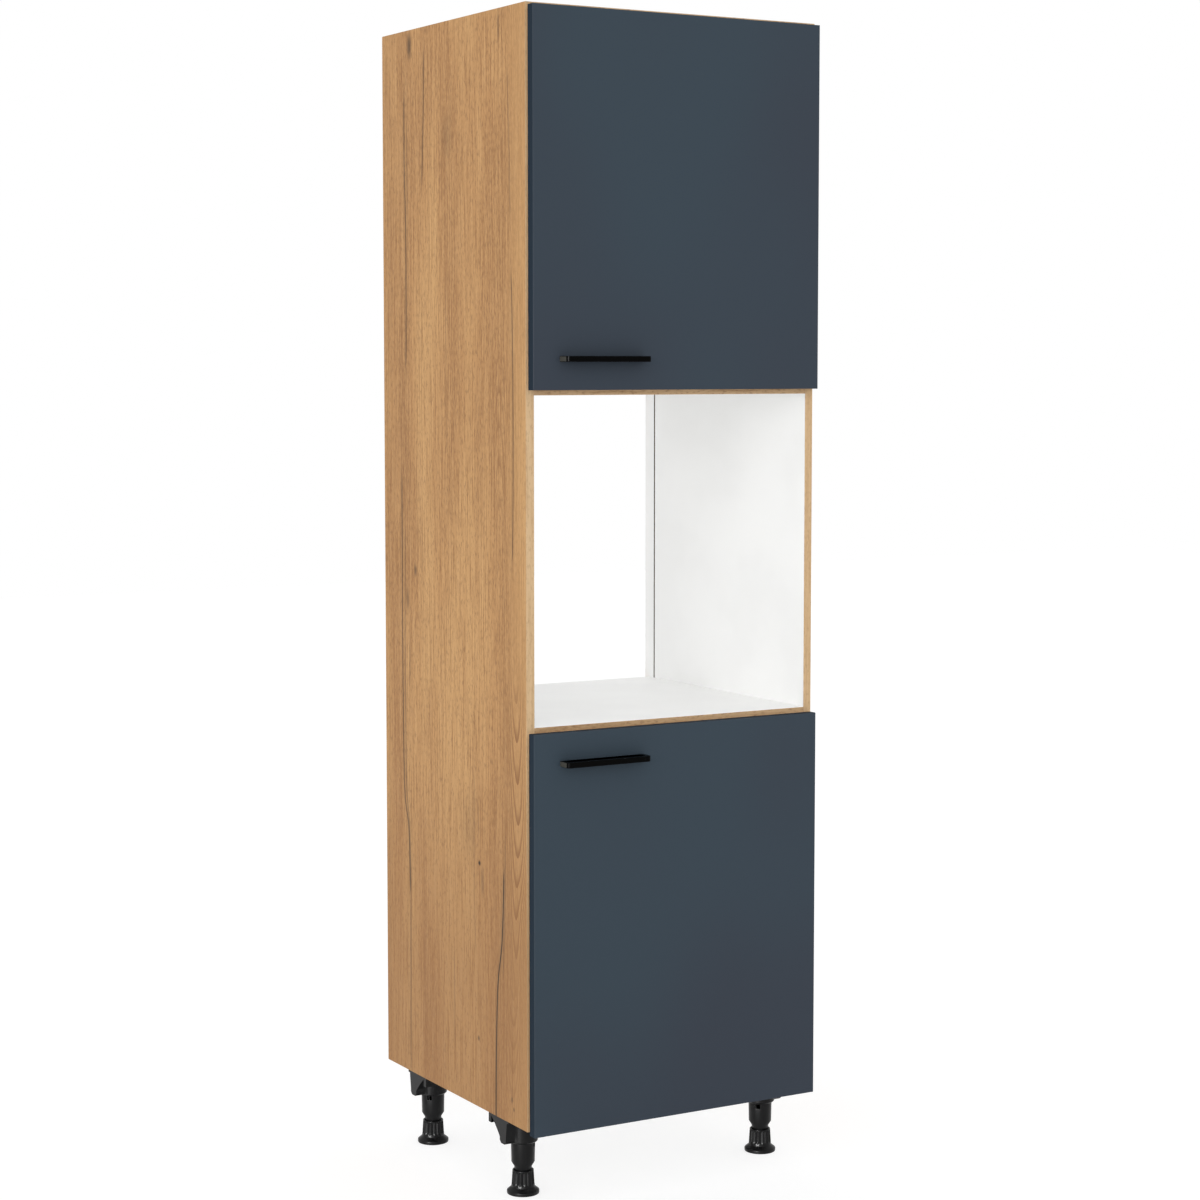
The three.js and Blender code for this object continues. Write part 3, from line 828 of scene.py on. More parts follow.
@dataclass(frozen=True)
class RawChipboard(Finish):
    """Sawn edge of chipboard: pressed chips of a few millimetres, pale and brown, with dark gaps."""

    name: str = "sawn chipboard edge"
    roughness: float = 0.85
    specular: float = 0.2
    pale: str = "D9BC90"
    body: str = "BE996B"
    deep: str = "8B6A45"
    chip: Triple = (2.2, 2.2, 5.28)
    gap: Triple = (0.45, 0.75, 0.8)
    press: Pair = (0.3, 0.5)

    def paint(self, canvas: Canvas) -> None:
        """Paints the chips cell by cell, flattened as the press leaves them.

        Args:
            canvas: The canvas to paint on.
        """
        tree = canvas.tree
        scale = [METRE / width for width in self.chip]
        scaled = add_node(tree, "ShaderNodeMapping", {"Vector": canvas.spot, "Scale": scale}).outputs[0]
        chips = {"Vector": scaled, "Scale": 1.0, "Randomness": 1.0}
        cells = add_node(tree, "ShaderNodeTexVoronoi", chips).outputs
        tint = add_node(tree, "ShaderNodeSeparateColor", {0: cells["Color"]}).outputs[0]
        gap = canvas.window(cells["Distance"], *self.gap)
        canvas.tone(self.pale, (tint, self.body), (gap, self.deep))
        canvas.relief(cells["Distance"], *self.press)


@dataclass(frozen=True)
class PressedHardboard(Finish):
    """Bare side of hardboard: brown pressed wood fibre with a felted fleck.

    The real fibres are finer than a millimetre; they are drawn as coarse as they need to show.
    """

    name: str = "bare hardboard"
    roughness: float = 0.8
    specular: float = 0.2
    body: str = "8A6642"
    pale: str = "A9845A"
    felt: float = 4.5
    felt_detail: float = 4.0
    cloud: float = 90.0
    cloud_detail: float = 2.0
    felt_share: float = 0.8
    rim: Pair = (0.38, 0.62)
    press: Pair = (0.15, 0.4)

    def paint(self, canvas: Canvas) -> None:
        """Paints the felt of fibres at two sizes.

        Args:
            canvas: The canvas to paint on.
        """
        felt = canvas.streaks([self.felt] * 3, self.felt_detail)
        cloud = canvas.streaks([self.cloud] * 3, self.cloud_detail)
        both = add_node(canvas.tree, "ShaderNodeMix", {0: self.felt_share, 2: cloud, 3: felt}).outputs[0]
        canvas.tone(self.body, (canvas.window(both, *self.rim), self.pale))
        canvas.relief(felt, *self.press)


@dataclass(frozen=True)
class SlateLacquer(Grained):
    """Matt slate-blue lacquer foil on the fronts: even colour, faint orange peel, a soft, wide sheen."""

    name: str = "slate-blue lacquer foil"
    specular: float = 0.12
    colour: str = "35414B"
    shade: str = "353C46"
    cloud: Triple = (520.0, 520.0, 700.0)
    cloud_detail: float = 1.0
    cloud_rim: Pair = (0.35, 0.65)
    grain: float = 2.4
    grain_detail: float = 1.0
    shine: Pair = (0.52, 0.60)
    press: Pair = (0.03, 0.3)


@dataclass(frozen=True)
class BlackPowderCoat(Grained):
    """Black powder coat on the steel handles: almost no colour, with a fine grain in its satin shine."""

    name: str = "black powder coat"
    specular: float = 0.035
    colour: str = "010101"
    shade: str = "040404"
    cloud: Triple = (0.9, 0.9, 0.9)
    cloud_detail: float = 2.0
    cloud_rim: Pair = (0.35, 0.7)
    grain: float = 0.9
    grain_detail: float = 2.0
    shine: Pair = (0.26, 0.34)
    press: Pair = (0.04, 0.4)


@dataclass(frozen=True)
class NickelPlating(Finish):
    """Nickel plating on the hinges' pressed steel: bright and warm, with a mottled shine."""

    name: str = "nickel plating"
    metallic: float = 1.0
    colour: str = "BDBAB4"
    shade: str = "9E9C98"
    mottle: float = 3.0
    mottle_detail: float = 3.0
    mottle_rim: Pair = (0.35, 0.7)
    shine: Pair = (0.22, 0.38)
    drawn: Triple = (0.5, 6.0, 0.5)
    press: Pair = (0.01, 0.25)

    def paint(self, canvas: Canvas) -> None:
        """Mottles the plating's tone and gloss, with fine drawing lines.

        Args:
            canvas: The canvas to paint on.
        """
        spots = canvas.streaks([self.mottle] * 3, self.mottle_detail)
        canvas.tone(self.colour, (canvas.window(spots, *self.mottle_rim), self.shade))
        canvas.gloss(spots, *self.shine)
        canvas.relief(canvas.streaks(self.drawn, 1.0), *self.press)


@dataclass(frozen=True)
class ZincPlating(NickelPlating):
    """Zinc plating on the pins and screws: bluer than nickel and a little darker."""

    name: str = "zinc plating"
    colour: str = "B4B8BA"
    shade: str = "94989A"


@dataclass(frozen=True)
class MouldedPlastic(Grained):
    """Black injection-moulded polypropylene: faint flow marks, and a spark-eroded grain in its shine.

    The real grain is a few tenths of a millimetre; it is drawn as coarse as it needs to show.
    """

    name: str = "black moulded polypropylene"
    specular: float = 0.17
    colour: str = "0C0C0D"
    shade: str = "070708"
    cloud: Triple = (14.0, 14.0, 40.0)
    cloud_detail: float = 2.0
    cloud_rim: Pair = (0.35, 0.68)
    grain: float = 1.6
    grain_detail: float = 2.0
    shine: Pair = (0.28, 0.40)
    press: Pair = (0.10, 0.45)


WHITE = WhiteMelamine()
RAW = RawChipboard()
NICKEL = NickelPlating()
ZINC = ZincPlating()


# ---------------------------------------------------------------- repeated pieces


class PieceTree:
    """A Geometry Nodes tree with named inputs that ends in plain, dressed geometry."""

    def __init__(self, name: str, inputs: dict[str, str]) -> None:
        """Opens the tree.

        Args:
            name: The tree's name.
            inputs: Socket type of each input, by its name.
        """
        self.tree = bpy.data.node_groups.new(name, "GeometryNodeTree")
        face = self.tree.interface
        kinds = {"Geometry": "NodeSocketGeometry", **inputs, "Finish": "NodeSocketMaterial"}
        for label, kind in kinds.items():
            face.new_socket(label, in_out="INPUT", socket_type=kind)
        face.new_socket("Geometry", in_out="OUTPUT", socket_type="NodeSocketGeometry")
        self.given = add_node(self.tree, "NodeGroupInput").outputs

    def close(self, geometry: Socket) -> None:
        """Ends the tree: instances made real, finish set.

        Args:
            geometry: What the tree has made.
        """
        real = add_node(self.tree, "GeometryNodeRealizeInstances", {"Geometry": geometry}).outputs[0]
        finish = {"Geometry": real, "Material": self.given["Finish"]}
        dressed = add_node(self.tree, "GeometryNodeSetMaterial", finish).outputs[0]
        add_node(self.tree, "NodeGroupOutput", {"Geometry": dressed})

    def run(self, piece: Piece, finish: Finish, values: dict[str, object]) -> Piece:
        """Runs the tree on a piece and keeps the result as its mesh.

        Args:
            piece: The object that carries the tree.
            finish: The finish of what the tree makes.
            values: The tree's inputs by name.

        Returns:
            The same object, as a plain mesh.
        """
        modifier = piece.modifiers.new(self.tree.name, "NODES")
        modifier.node_group = self.tree
        filled = {**values, "Finish": finish.material()}
        for item in self.tree.interface.items_tree:
            if item.in_out == "INPUT" and item.name in filled:
                modifier[item.identifier] = filled[item.name]
        return settle(piece)


class CopiesTree(PieceTree):
    """Copies of one small piece, set on points that each carry the way they face."""

    def __init__(self) -> None:
        """Builds the tree."""
        super().__init__("copies on points", {"Copied piece": "NodeSocketObject"})
        tree, given = self.tree, self.given
        source = add_node(tree, "GeometryNodeObjectInfo", {"Object": given["Copied piece"]}).outputs
        stored = {"Name": "facing"}
        ways = add_node(tree, "GeometryNodeInputNamedAttribute", stored, data_type="FLOAT_VECTOR")
        turn = add_node(tree, "FunctionNodeEulerToRotation", {0: ways.outputs[0]}).outputs[0]
        inputs = {"Points": given["Geometry"], "Instance": source["Geometry"], "Rotation": turn}
        self.close(add_node(tree, "GeometryNodeInstanceOnPoints", inputs).outputs[0])

    def spread(
        self,
        name: str,
        source: Mesh,
        spots: Sequence[tuple[Triple, Euler]],
        finish: Finish,
        body: str,
        slot: Slot,
        *nodes: str,
    ) -> None:
        """Sets copies of a small piece on spots and seats them as one piece.

        Args:
            name: Name of the piece that holds all the copies.
            source: The small piece, its axis on Z.
            spots: Place in millimetres and turn of each copy.
            finish: The copies' finish.
            body: The CAD body that carries them.
            slot: The record's material slot.
            nodes: The CAD nodes that they stand for.
        """
        pattern = smooth(new_object(f"{name}_pattern", source), crease=40.0)
        points = bmesh.new()
        for spot, _ in spots:
            points.verts.new(Vector(spot) * MM)
        piece = new_object(name, points)
        ways = piece.data.attributes.new("facing", "FLOAT_VECTOR", "POINT")
        ways.data.foreach_set("vector", [angle for _, turn in spots for angle in turn])
        self.run(piece, finish, {"Copied piece": pattern})
        bpy.data.objects.remove(pattern)
        seat(piece, body, slot, *nodes)


class ThreadTree(PieceTree):
    """A rolled thread wound round a stem."""

    def __init__(self) -> None:
        """Builds the tree."""
        names = ("Root radius", "Pitch", "Depth", "Start height", "Turns")
        super().__init__("rolled thread", dict.fromkeys(names, "NodeSocketFloat"))
        tree, given = self.tree, self.given
        rise = {0: given["Pitch"], 1: given["Turns"]}
        height = add_node(tree, MATH, rise, operation="MULTIPLY").outputs[0]
        winding = {"Resolution": 32, "Rotations": given["Turns"], "Height": height}
        winding |= dict.fromkeys(("Start Radius", "End Radius"), given["Root radius"])
        path = add_node(tree, "GeometryNodeCurveSpiral", winding).outputs[0]
        section = {"Resolution": 4, "Radius": given["Depth"]}
        ridge = add_node(tree, "GeometryNodeCurvePrimitiveCircle", section, mode="RADIUS").outputs[0]
        sweep = {"Curve": path, "Profile Curve": ridge, "Fill Caps": True}
        wound = add_node(tree, "GeometryNodeCurveToMesh", sweep).outputs[0]
        lift = add_node(tree, "ShaderNodeCombineXYZ", {"Z": given["Start height"]}).outputs[0]
        lifted = {"Geometry": wound, "Translation": lift}
        raised = add_node(tree, "GeometryNodeTransform", lifted).outputs[0]
        both = add_node(tree, "GeometryNodeJoinGeometry", {0: raised})
        tree.links.new(given["Geometry"], both.inputs[0])
        self.close(both.outputs[0])


class FluteTree(PieceTree):
    """Upright flutes pressed into a turned collar."""

    def __init__(self) -> None:
        """Builds the tree."""
        names = ("Count", "Depth", "Wall radius", "Bottom", "Top", "Fade")
        super().__init__("collar flutes", dict.fromkeys(names, "NodeSocketFloat"))
        tree, given = self.tree, self.given
        place_on_foot = add_node(tree, "GeometryNodeInputPosition").outputs[0]
        axes = add_node(tree, "ShaderNodeSeparateXYZ", {0: place_on_foot}).outputs
        # The flutes are rounded hollows between narrow ribs: a wave round the foot, 0 to 1, made fuller.
        share = axes["Y"]
        for operation, others in (
            ("ARCTAN2", {1: axes["X"]}),
            ("MULTIPLY", {1: given["Count"]}),
            ("COSINE", {}),
            ("MULTIPLY_ADD", {1: -0.5, 2: 0.5}),
            ("POWER", {1: 0.6}),
        ):
            share = add_node(tree, MATH, {0: share, **others}, operation=operation).outputs[0]
        flat = add_node(tree, "ShaderNodeCombineXYZ", {"X": axes["X"], "Y": axes["Y"]}).outputs[0]
        radius = add_node(tree, "ShaderNodeVectorMath", {0: flat}, operation="LENGTH").outputs["Value"]
        outside = {0: radius, 1: given["Wall radius"]}
        masks = [add_node(tree, MATH, outside, operation="GREATER_THAN").outputs[0]]
        for upper, lower in ((axes["Z"], given["Bottom"]), (given["Top"], axes["Z"])):
            gap = add_node(tree, MATH, {0: upper, 1: lower}, operation="SUBTRACT").outputs[0]
            fade = {0: gap, 1: given["Fade"]}
            masks.append(add_node(tree, MATH, fade, operation="DIVIDE", use_clamp=True).outputs[0])
        for factor in (*masks, given["Depth"], -1.0):
            share = add_node(tree, MATH, {0: share, 1: factor}, operation="MULTIPLY").outputs[0]
        heading = add_node(tree, "ShaderNodeVectorMath", {0: flat}, operation="NORMALIZE").outputs[0]
        scaled = {0: heading, "Scale": share}
        push = add_node(tree, "ShaderNodeVectorMath", scaled, operation="SCALE").outputs[0]
        pressed = {"Geometry": given["Geometry"], "Offset": push}
        self.close(add_node(tree, "GeometryNodeSetPosition", pressed).outputs[0])


@dataclass(frozen=True)
class CrossScrew:
    """A pan-head screw with a cross recess, its seat at height 0 and its head up."""

    head_radius: float
    head_height: float
    shank_radius: float
    shank_length: float
    recess_reach: float
    recess_width: float
    recess_depth: float
    crown_margin: float = 0.35
    segments: int = 24

    def mesh(self) -> Mesh:
        """Builds the screw: turned shank and head, and a crown with the cross sunk in it.

        Returns:
            A closed mesh in metres.
        """
        crown = self.recess_reach + self.crown_margin
        profile = [
            (0.0, -self.shank_length),
            (self.shank_radius, -self.shank_length),
            (self.shank_radius, 0.0),
            (self.head_radius - 0.1, 0.0),
            (self.head_radius, 0.15),
            (self.head_radius - 0.12, 0.45 * self.head_height),
            (0.5 * (self.head_radius + crown), 0.85 * self.head_height),
            (crown, self.head_height),
        ]
        mesh = turned(profile, self.segments)
        top = self.head_height * MM
        rim = [v for v in mesh.verts if abs(v.co.z - top) < TOUCH]
        rim.sort(key=lambda v: math.atan2(v.co.y, v.co.x))
        half = self.recess_width / 2
        cross = []
        for quarter in range(4):
            cos, sin = math.cos(quarter * math.pi / 2), math.sin(quarter * math.pi / 2)
            for x, y in ((self.recess_reach, half), (half, half), (half, self.recess_reach)):
                cross.append(((x * cos - y * sin) * MM, (x * sin + y * cos) * MM))
        heights = (top, top - self.recess_depth * MM)
        edge, floor = ([mesh.verts.new((x, y, height)) for x, y in cross] for height in heights)
        border = [pair for ring in (rim, edge) for pair in pairwise([*ring, ring[0]])]
        sides = [mesh.edges.get(pair) or mesh.edges.new(pair) for pair in border]
        bmesh.ops.triangle_fill(mesh, use_beauty=True, edges=sides)
        for (a, b), (c, d) in zip(pairwise([*edge, edge[0]]), pairwise([*floor, floor[0]])):
            mesh.faces.new((a, b, d, c))
        mesh.faces.new(floor)
        # The fill may close the cross too: its triangles over the middle go again.
        middles = [(face, face.calc_center_median()) for face in mesh.faces if len(face.verts) == 3]
        lids = [face for face, middle in middles if middle.xy.length < 0.2 * half * MM and middle.z > 0]
        bmesh.ops.delete(mesh, geom=lids, context="FACES_ONLY")
        bmesh.ops.recalc_face_normals(mesh, faces=mesh.faces)
        return mesh


# ---------------------------------------------------------------- the unit's sub-assemblies


@dataclass
class Carcass:
    """Side panels, fixed boards and backs."""

    oak: Finish
    oak_edge: Finish
    oak_edge_level: Finish
    body: str = "carcass"
    arris: float = 0.5
    edge_depth: float = 1.0
    outer_depth: float = 14.0
    inner_depth: float = 0.3
    board_depth: float = 0.6
    cut_depth: float = 1.5
    boards: tuple[str, ...] = ("bottom_panel", "niche_floor_board", "niche_ceiling_board", "top_panel")
    # Painted shade: the back panel's groove and the panel's other cuts get chipboard darkened for the shade
    # inside them.
    groove: Finish = RawChipboard("chipboard groove with painted shade", pale="7D6D58", body="5F5040", deep="3C3228")
    bare: Finish = PressedHardboard()

    def side_panel(self, name: str, side: int) -> None:
        """Builds one side panel: oak outside and in front, white inside, sawn ends and rear edge, and
        chipboard darkened with painted shade in the groove and other cuts.

        Args:
            name: The CAD node.
            side: -1 for the left panel, 1 for the right.
        """
        skins = [
            Skin(self.oak_edge, Y, -1, self.edge_depth, 0.3),
            Skin(self.oak, X, side, self.outer_depth, 0.5),
            Skin(WHITE, X, -side, self.inner_depth, 0.5),
        ]
        skins += [Skin(RAW, axis, way, self.cut_depth) for axis, way in ((Z, -1), (Z, 1), (Y, 1))]
        # Faces in no skin, the groove and other cuts, get the darkened chipboard: painted shade.
        refine(name, "board", self.body, Slot.OAK, self.groove, *skins, arris=self.arris)

    def fixed_board(self, name: str) -> None:
        """Builds one fixed board: white faces, oak front edge, sawn ends and rear edge.

        Args:
            name: The CAD node.
        """
        skins = [Skin(self.oak_edge_level, Y, -1, self.edge_depth, 0.3)]
        skins += [Skin(WHITE, Z, way, self.board_depth, 0.5) for way in (-1, 1)]
        refine(name, "board", self.body, Slot.WHITE, RAW, *skins, arris=self.arris)

    def back(self, name: str) -> None:
        """Builds one thin back: white towards the compartment, bare fibre behind."""
        refine(name, "sheet", self.body, Slot.HARDBOARD, self.bare, Skin(WHITE, Y, -1, lean=0.5))

    def build(self) -> None:
        """Builds all the boards."""
        self.side_panel("left_side_panel", -1)
        self.side_panel("right_side_panel", 1)
        for name in self.boards:
            self.fixed_board(name)
        for level in Level:
            self.back(f"{level}_back_panel")


@dataclass
class Shelf:
    """A loose shelf on four pins."""

    level: Level
    copies: CopiesTree
    arris: float = 0.6
    pin_radius: float = 2.5
    pin_collar_radius: float = 4.0
    pin_collar_thickness: float = 1.2
    pin_depth: float = 8.5
    pin_reach: float = 8.0
    seat_gap: float = 0.3
    body: str = "carcass"

    def board(self) -> None:
        """Builds the shelf: white all round but for its sawn rear edge."""
        rear = Skin(RAW, Y, 1, lean=0.5)
        refine(f"{self.level}_shelf", "board", self.body, Slot.WHITE, WHITE, rear, arris=self.arris)

    def pins(self) -> None:
        """Builds the four pins as one piece."""
        collar_end = self.seat_gap + self.pin_collar_thickness
        profile = filleted(
            [
                (0.0, -self.pin_depth, 0),
                (self.pin_radius, -self.pin_depth, 0.5),
                (self.pin_radius, self.seat_gap, 0.1),
                (self.pin_collar_radius, self.seat_gap, 0.2),
                (self.pin_collar_radius, collar_end, 0.35),
                (self.pin_radius, collar_end, 0.2),
                (self.pin_radius, self.pin_reach, 0.9),
                (0.0, self.pin_reach, 0),
            ],
            steps=4,
        )
        ends = product(("front", "rear"), ("left", "right"))
        nodes = [f"{self.level}_shelf_pin_{end}_{side}" for end, side in ends]
        spots = []
        for node in nodes:
            low, high = box_mm(node)
            middle = (low + high) / 2
            inwards = 1 if middle.x < 0 else -1
            face = (low.x if inwards > 0 else high.x) + inwards * self.pin_depth
            spots.append(((face, middle.y, middle.z), facing((inwards, 0, 0))))
        pin = turned(profile, segments=32)
        self.copies.spread(f"{self.level}_shelf_pins", pin, spots, ZINC, self.body, Slot.ZINC, *nodes)

    def build(self) -> None:
        """Builds the shelf and its pins."""
        self.board()
        self.pins()


@dataclass
class Door:
    """A door with its bar handle, handle screws and hinge cups."""

    level: Level
    copies: CopiesTree
    arris: float = 0.25
    edge_depth: float = 1.2
    back_depth: float = 0.2
    bar_depth: float = 8.0
    post_width: float = 10.0
    bend_radius: float = 7.0
    inner_radius: float = 0.8
    end_radius: float = 0.3
    handle_arris: float = 0.9
    screw_seat: float = 0.3
    cup_line: float = 28.0
    cup_screw_spacing: float = 45.0
    cup_screw_sink: float = 0.05
    handle_screw: CrossScrew = CrossScrew(
        head_radius=4.2, head_height=2.4, shank_radius=2.0, shank_length=29.3,
        recess_reach=2.3, recess_width=1.0, recess_depth=1.3,
    )
    cup_screw: CrossScrew = CrossScrew(
        head_radius=3.3, head_height=0.9, shank_radius=1.6, shank_length=0.6,
        recess_reach=1.8, recess_width=0.8, recess_depth=0.6,
    )
    lacquer: Finish = SlateLacquer()
    # The edge band is real; its darker tone than the front is painted shade for the door's edges.
    band: Finish = SlateLacquer("slate-blue edge band with painted shade", specular=0.03, colour="24303B", shade="222D38")
    coat: Finish = BlackPowderCoat()
    # Painted light: a grey coat on the handle's faces that turn left or right, standing in for light on the
    # posts' sides.
    post_coat: Finish = BlackPowderCoat("powder coat with painted side light on the posts", colour="4A4944", shade="504F4A")

    @property
    def body(self) -> str:
        """The CAD body of the door."""
        return f"{self.level}_door"

    def leaf(self) -> None:
        """Builds the leaf: lacquered front, banded edges darkened with painted shade, white back, sawn
        hinge pockets.
        """
        skins = [Skin(WHITE, Y, 1, self.back_depth, 0.8), Skin(self.lacquer, Y, -1, self.edge_depth)]
        # The four edges get the darker band: painted shade.
        skins += [Skin(self.band, axis, way, self.edge_depth) for axis in (X, Z) for way in (-1, 1)]
        refine(self.body, "leaf", self.body, Slot.FRONT, RAW, *skins, arris=self.arris, steps=1, edge=60.0)

    def handle(self) -> None:
        """Builds the handle: a flat bar bent to a U in plan, all its edges rounded."""
        name = f"{self.level}_handle"
        low, high = box_mm(name)
        inner_front = low.y + self.bar_depth
        plan = filleted(
            [
                (low.x, high.y, self.end_radius),
                (low.x, low.y, self.bend_radius),
                (high.x, low.y, self.bend_radius),
                (high.x, high.y, self.end_radius),
                (high.x - self.post_width, high.y, self.end_radius),
                (high.x - self.post_width, inner_front, self.inner_radius),
                (low.x + self.post_width, inner_front, self.inner_radius),
                (low.x + self.post_width, high.y, self.end_radius),
            ],
            steps=12,
            closed=True,
        )
        mesh = bmesh.new()
        base = mesh.faces.new([mesh.verts.new((x * MM, y * MM, low.z * MM)) for x, y in plan])
        grown = bmesh.ops.extrude_face_region(mesh, geom=[base])
        lifted = [v for v in grown["geom"] if isinstance(v, bmesh.types.BMVert)]
        bmesh.ops.translate(mesh, verts=lifted, vec=(0, 0, (high.z - low.z) * MM))
        bmesh.ops.recalc_face_normals(mesh, faces=mesh.faces)
        rims = [e for e in mesh.edges if abs(e.verts[0].co.z - e.verts[1].co.z) < TOUCH]
        rounding = self.handle_arris * MM
        bmesh.ops.bevel(
            mesh, geom=rims, offset=rounding, segments=4, profile=0.5, affect="EDGES", clamp_overlap=False
        )
        bar = new_object(f"{name}_bar", mesh)
        # Painted light: faces that turn left or right get the grey post coat in place of real side light;
        # the rest stays black.
        dress(bar, name, self.coat, *(Skin(self.post_coat, X, way, lean=0.99) for way in (-1, 1)))
        seat(smooth(bar, crease=50.0), self.body, Slot.HANDLE, name)

    def handle_screws(self) -> None:
        """Builds the two screws that hold the handle, heads on the door's back."""
        nodes = [f"{self.level}_handle_screw_{side}" for side in ("left", "right")]
        head_seat = box_mm(self.body)[1].y + self.screw_seat
        spots = []
        turn = random.Random(self.level.value)
        for node in nodes:
            low, high = box_mm(node)
            middle = (low + high) / 2
            spots.append(((middle.x, head_seat, middle.z), facing((0, 1, 0), turn.uniform(0, math.pi))))
        name, screw = f"{self.level}_handle_screws", self.handle_screw.mesh()
        self.copies.spread(name, screw, spots, ZINC, self.body, Slot.ZINC, *nodes)

    def cups(self) -> None:
        """Builds the hinge cups and the screws in their wings."""
        spots = []
        turn = random.Random(f"{self.level} cups")
        for end in ("bottom", "top"):
            node = f"{self.level}_{end}_hinge_cup"
            refine(node, "pot", self.body, Slot.NICKEL, NICKEL, crease=40.0)
            low, high = box_mm(node)
            for way in (-1, 1):
                height = (low.z + high.z + way * self.cup_screw_spacing) / 2
                spot = (high.x - self.cup_line, high.y - self.cup_screw_sink, height)
                spots.append((spot, facing((0, 1, 0), turn.uniform(0, math.pi))))
        name, screw = f"{self.level}_cup_screws", self.cup_screw.mesh()
        self.copies.spread(name, screw, spots, NICKEL, self.body, Slot.NICKEL)

    def build(self) -> None:
        """Builds the whole door."""
        self.leaf()
        self.handle()
        self.handle_screws()
        self.cups()


@dataclass
class HingeArms:
    """Arms, mounting plates and links of one door's two hinges, on the right panel."""

    level: Level
    copies: CopiesTree
    plate_line: float = 37.0
    wing_offset: float = 14.0
    plate_thickness: float = 2.5
    arm_top: float = 10.8
    arm_screw_lines: tuple[float, ...] = (33.0, 54.0)
    plate_screw: CrossScrew = CrossScrew(
        head_radius=4.0, head_height=1.2, shank_radius=2.0, shank_length=1.0,
        recess_reach=2.2, recess_width=0.9, recess_depth=0.8,
    )
    arm_screw: CrossScrew = CrossScrew(
        head_radius=3.2, head_height=0.7, shank_radius=2.0, shank_length=0.6,
        recess_reach=1.9, recess_width=0.8, recess_depth=0.5,
    )
    body: str = "carcass"

    def build(self) -> None:
        """Builds plates, arms, links and the screws on them."""
        plate_spots, arm_spots = [], []
        turn = random.Random(f"{self.level} arms")
        panel_face, front, _ = box_mm("right_side_panel")[0]
        for end in ("bottom", "top"):
            for part in ("plate", "arm", "link"):
                body = f"{self.level}_hinge_links" if part == "link" else self.body
                node = f"{self.level}_{end}_hinge_{part}"
                refine(node, "steel", body, Slot.NICKEL, NICKEL, crease=40.0)
            low, high = box_mm(f"{self.level}_{end}_hinge_plate")
            middle = (low.z + high.z) / 2
            on_plate, on_arm = panel_face - self.plate_thickness, panel_face - self.arm_top
            for way in (-1, 1):
                spot = (on_plate, front + self.plate_line, middle + way * self.wing_offset)
                plate_spots.append((spot, facing((-1, 0, 0), turn.uniform(0, math.pi))))
            for line in self.arm_screw_lines:
                spot = (on_arm, front + line, middle)
                arm_spots.append((spot, facing((-1, 0, 0), turn.uniform(0, math.pi))))
        for label, screw, spots in (
            ("plate", self.plate_screw, plate_spots),
            ("arm", self.arm_screw, arm_spots),
        ):
            name = f"{self.level}_hinge_{label}_screws"
            self.copies.spread(name, screw.mesh(), spots, NICKEL, self.body, Slot.NICKEL)


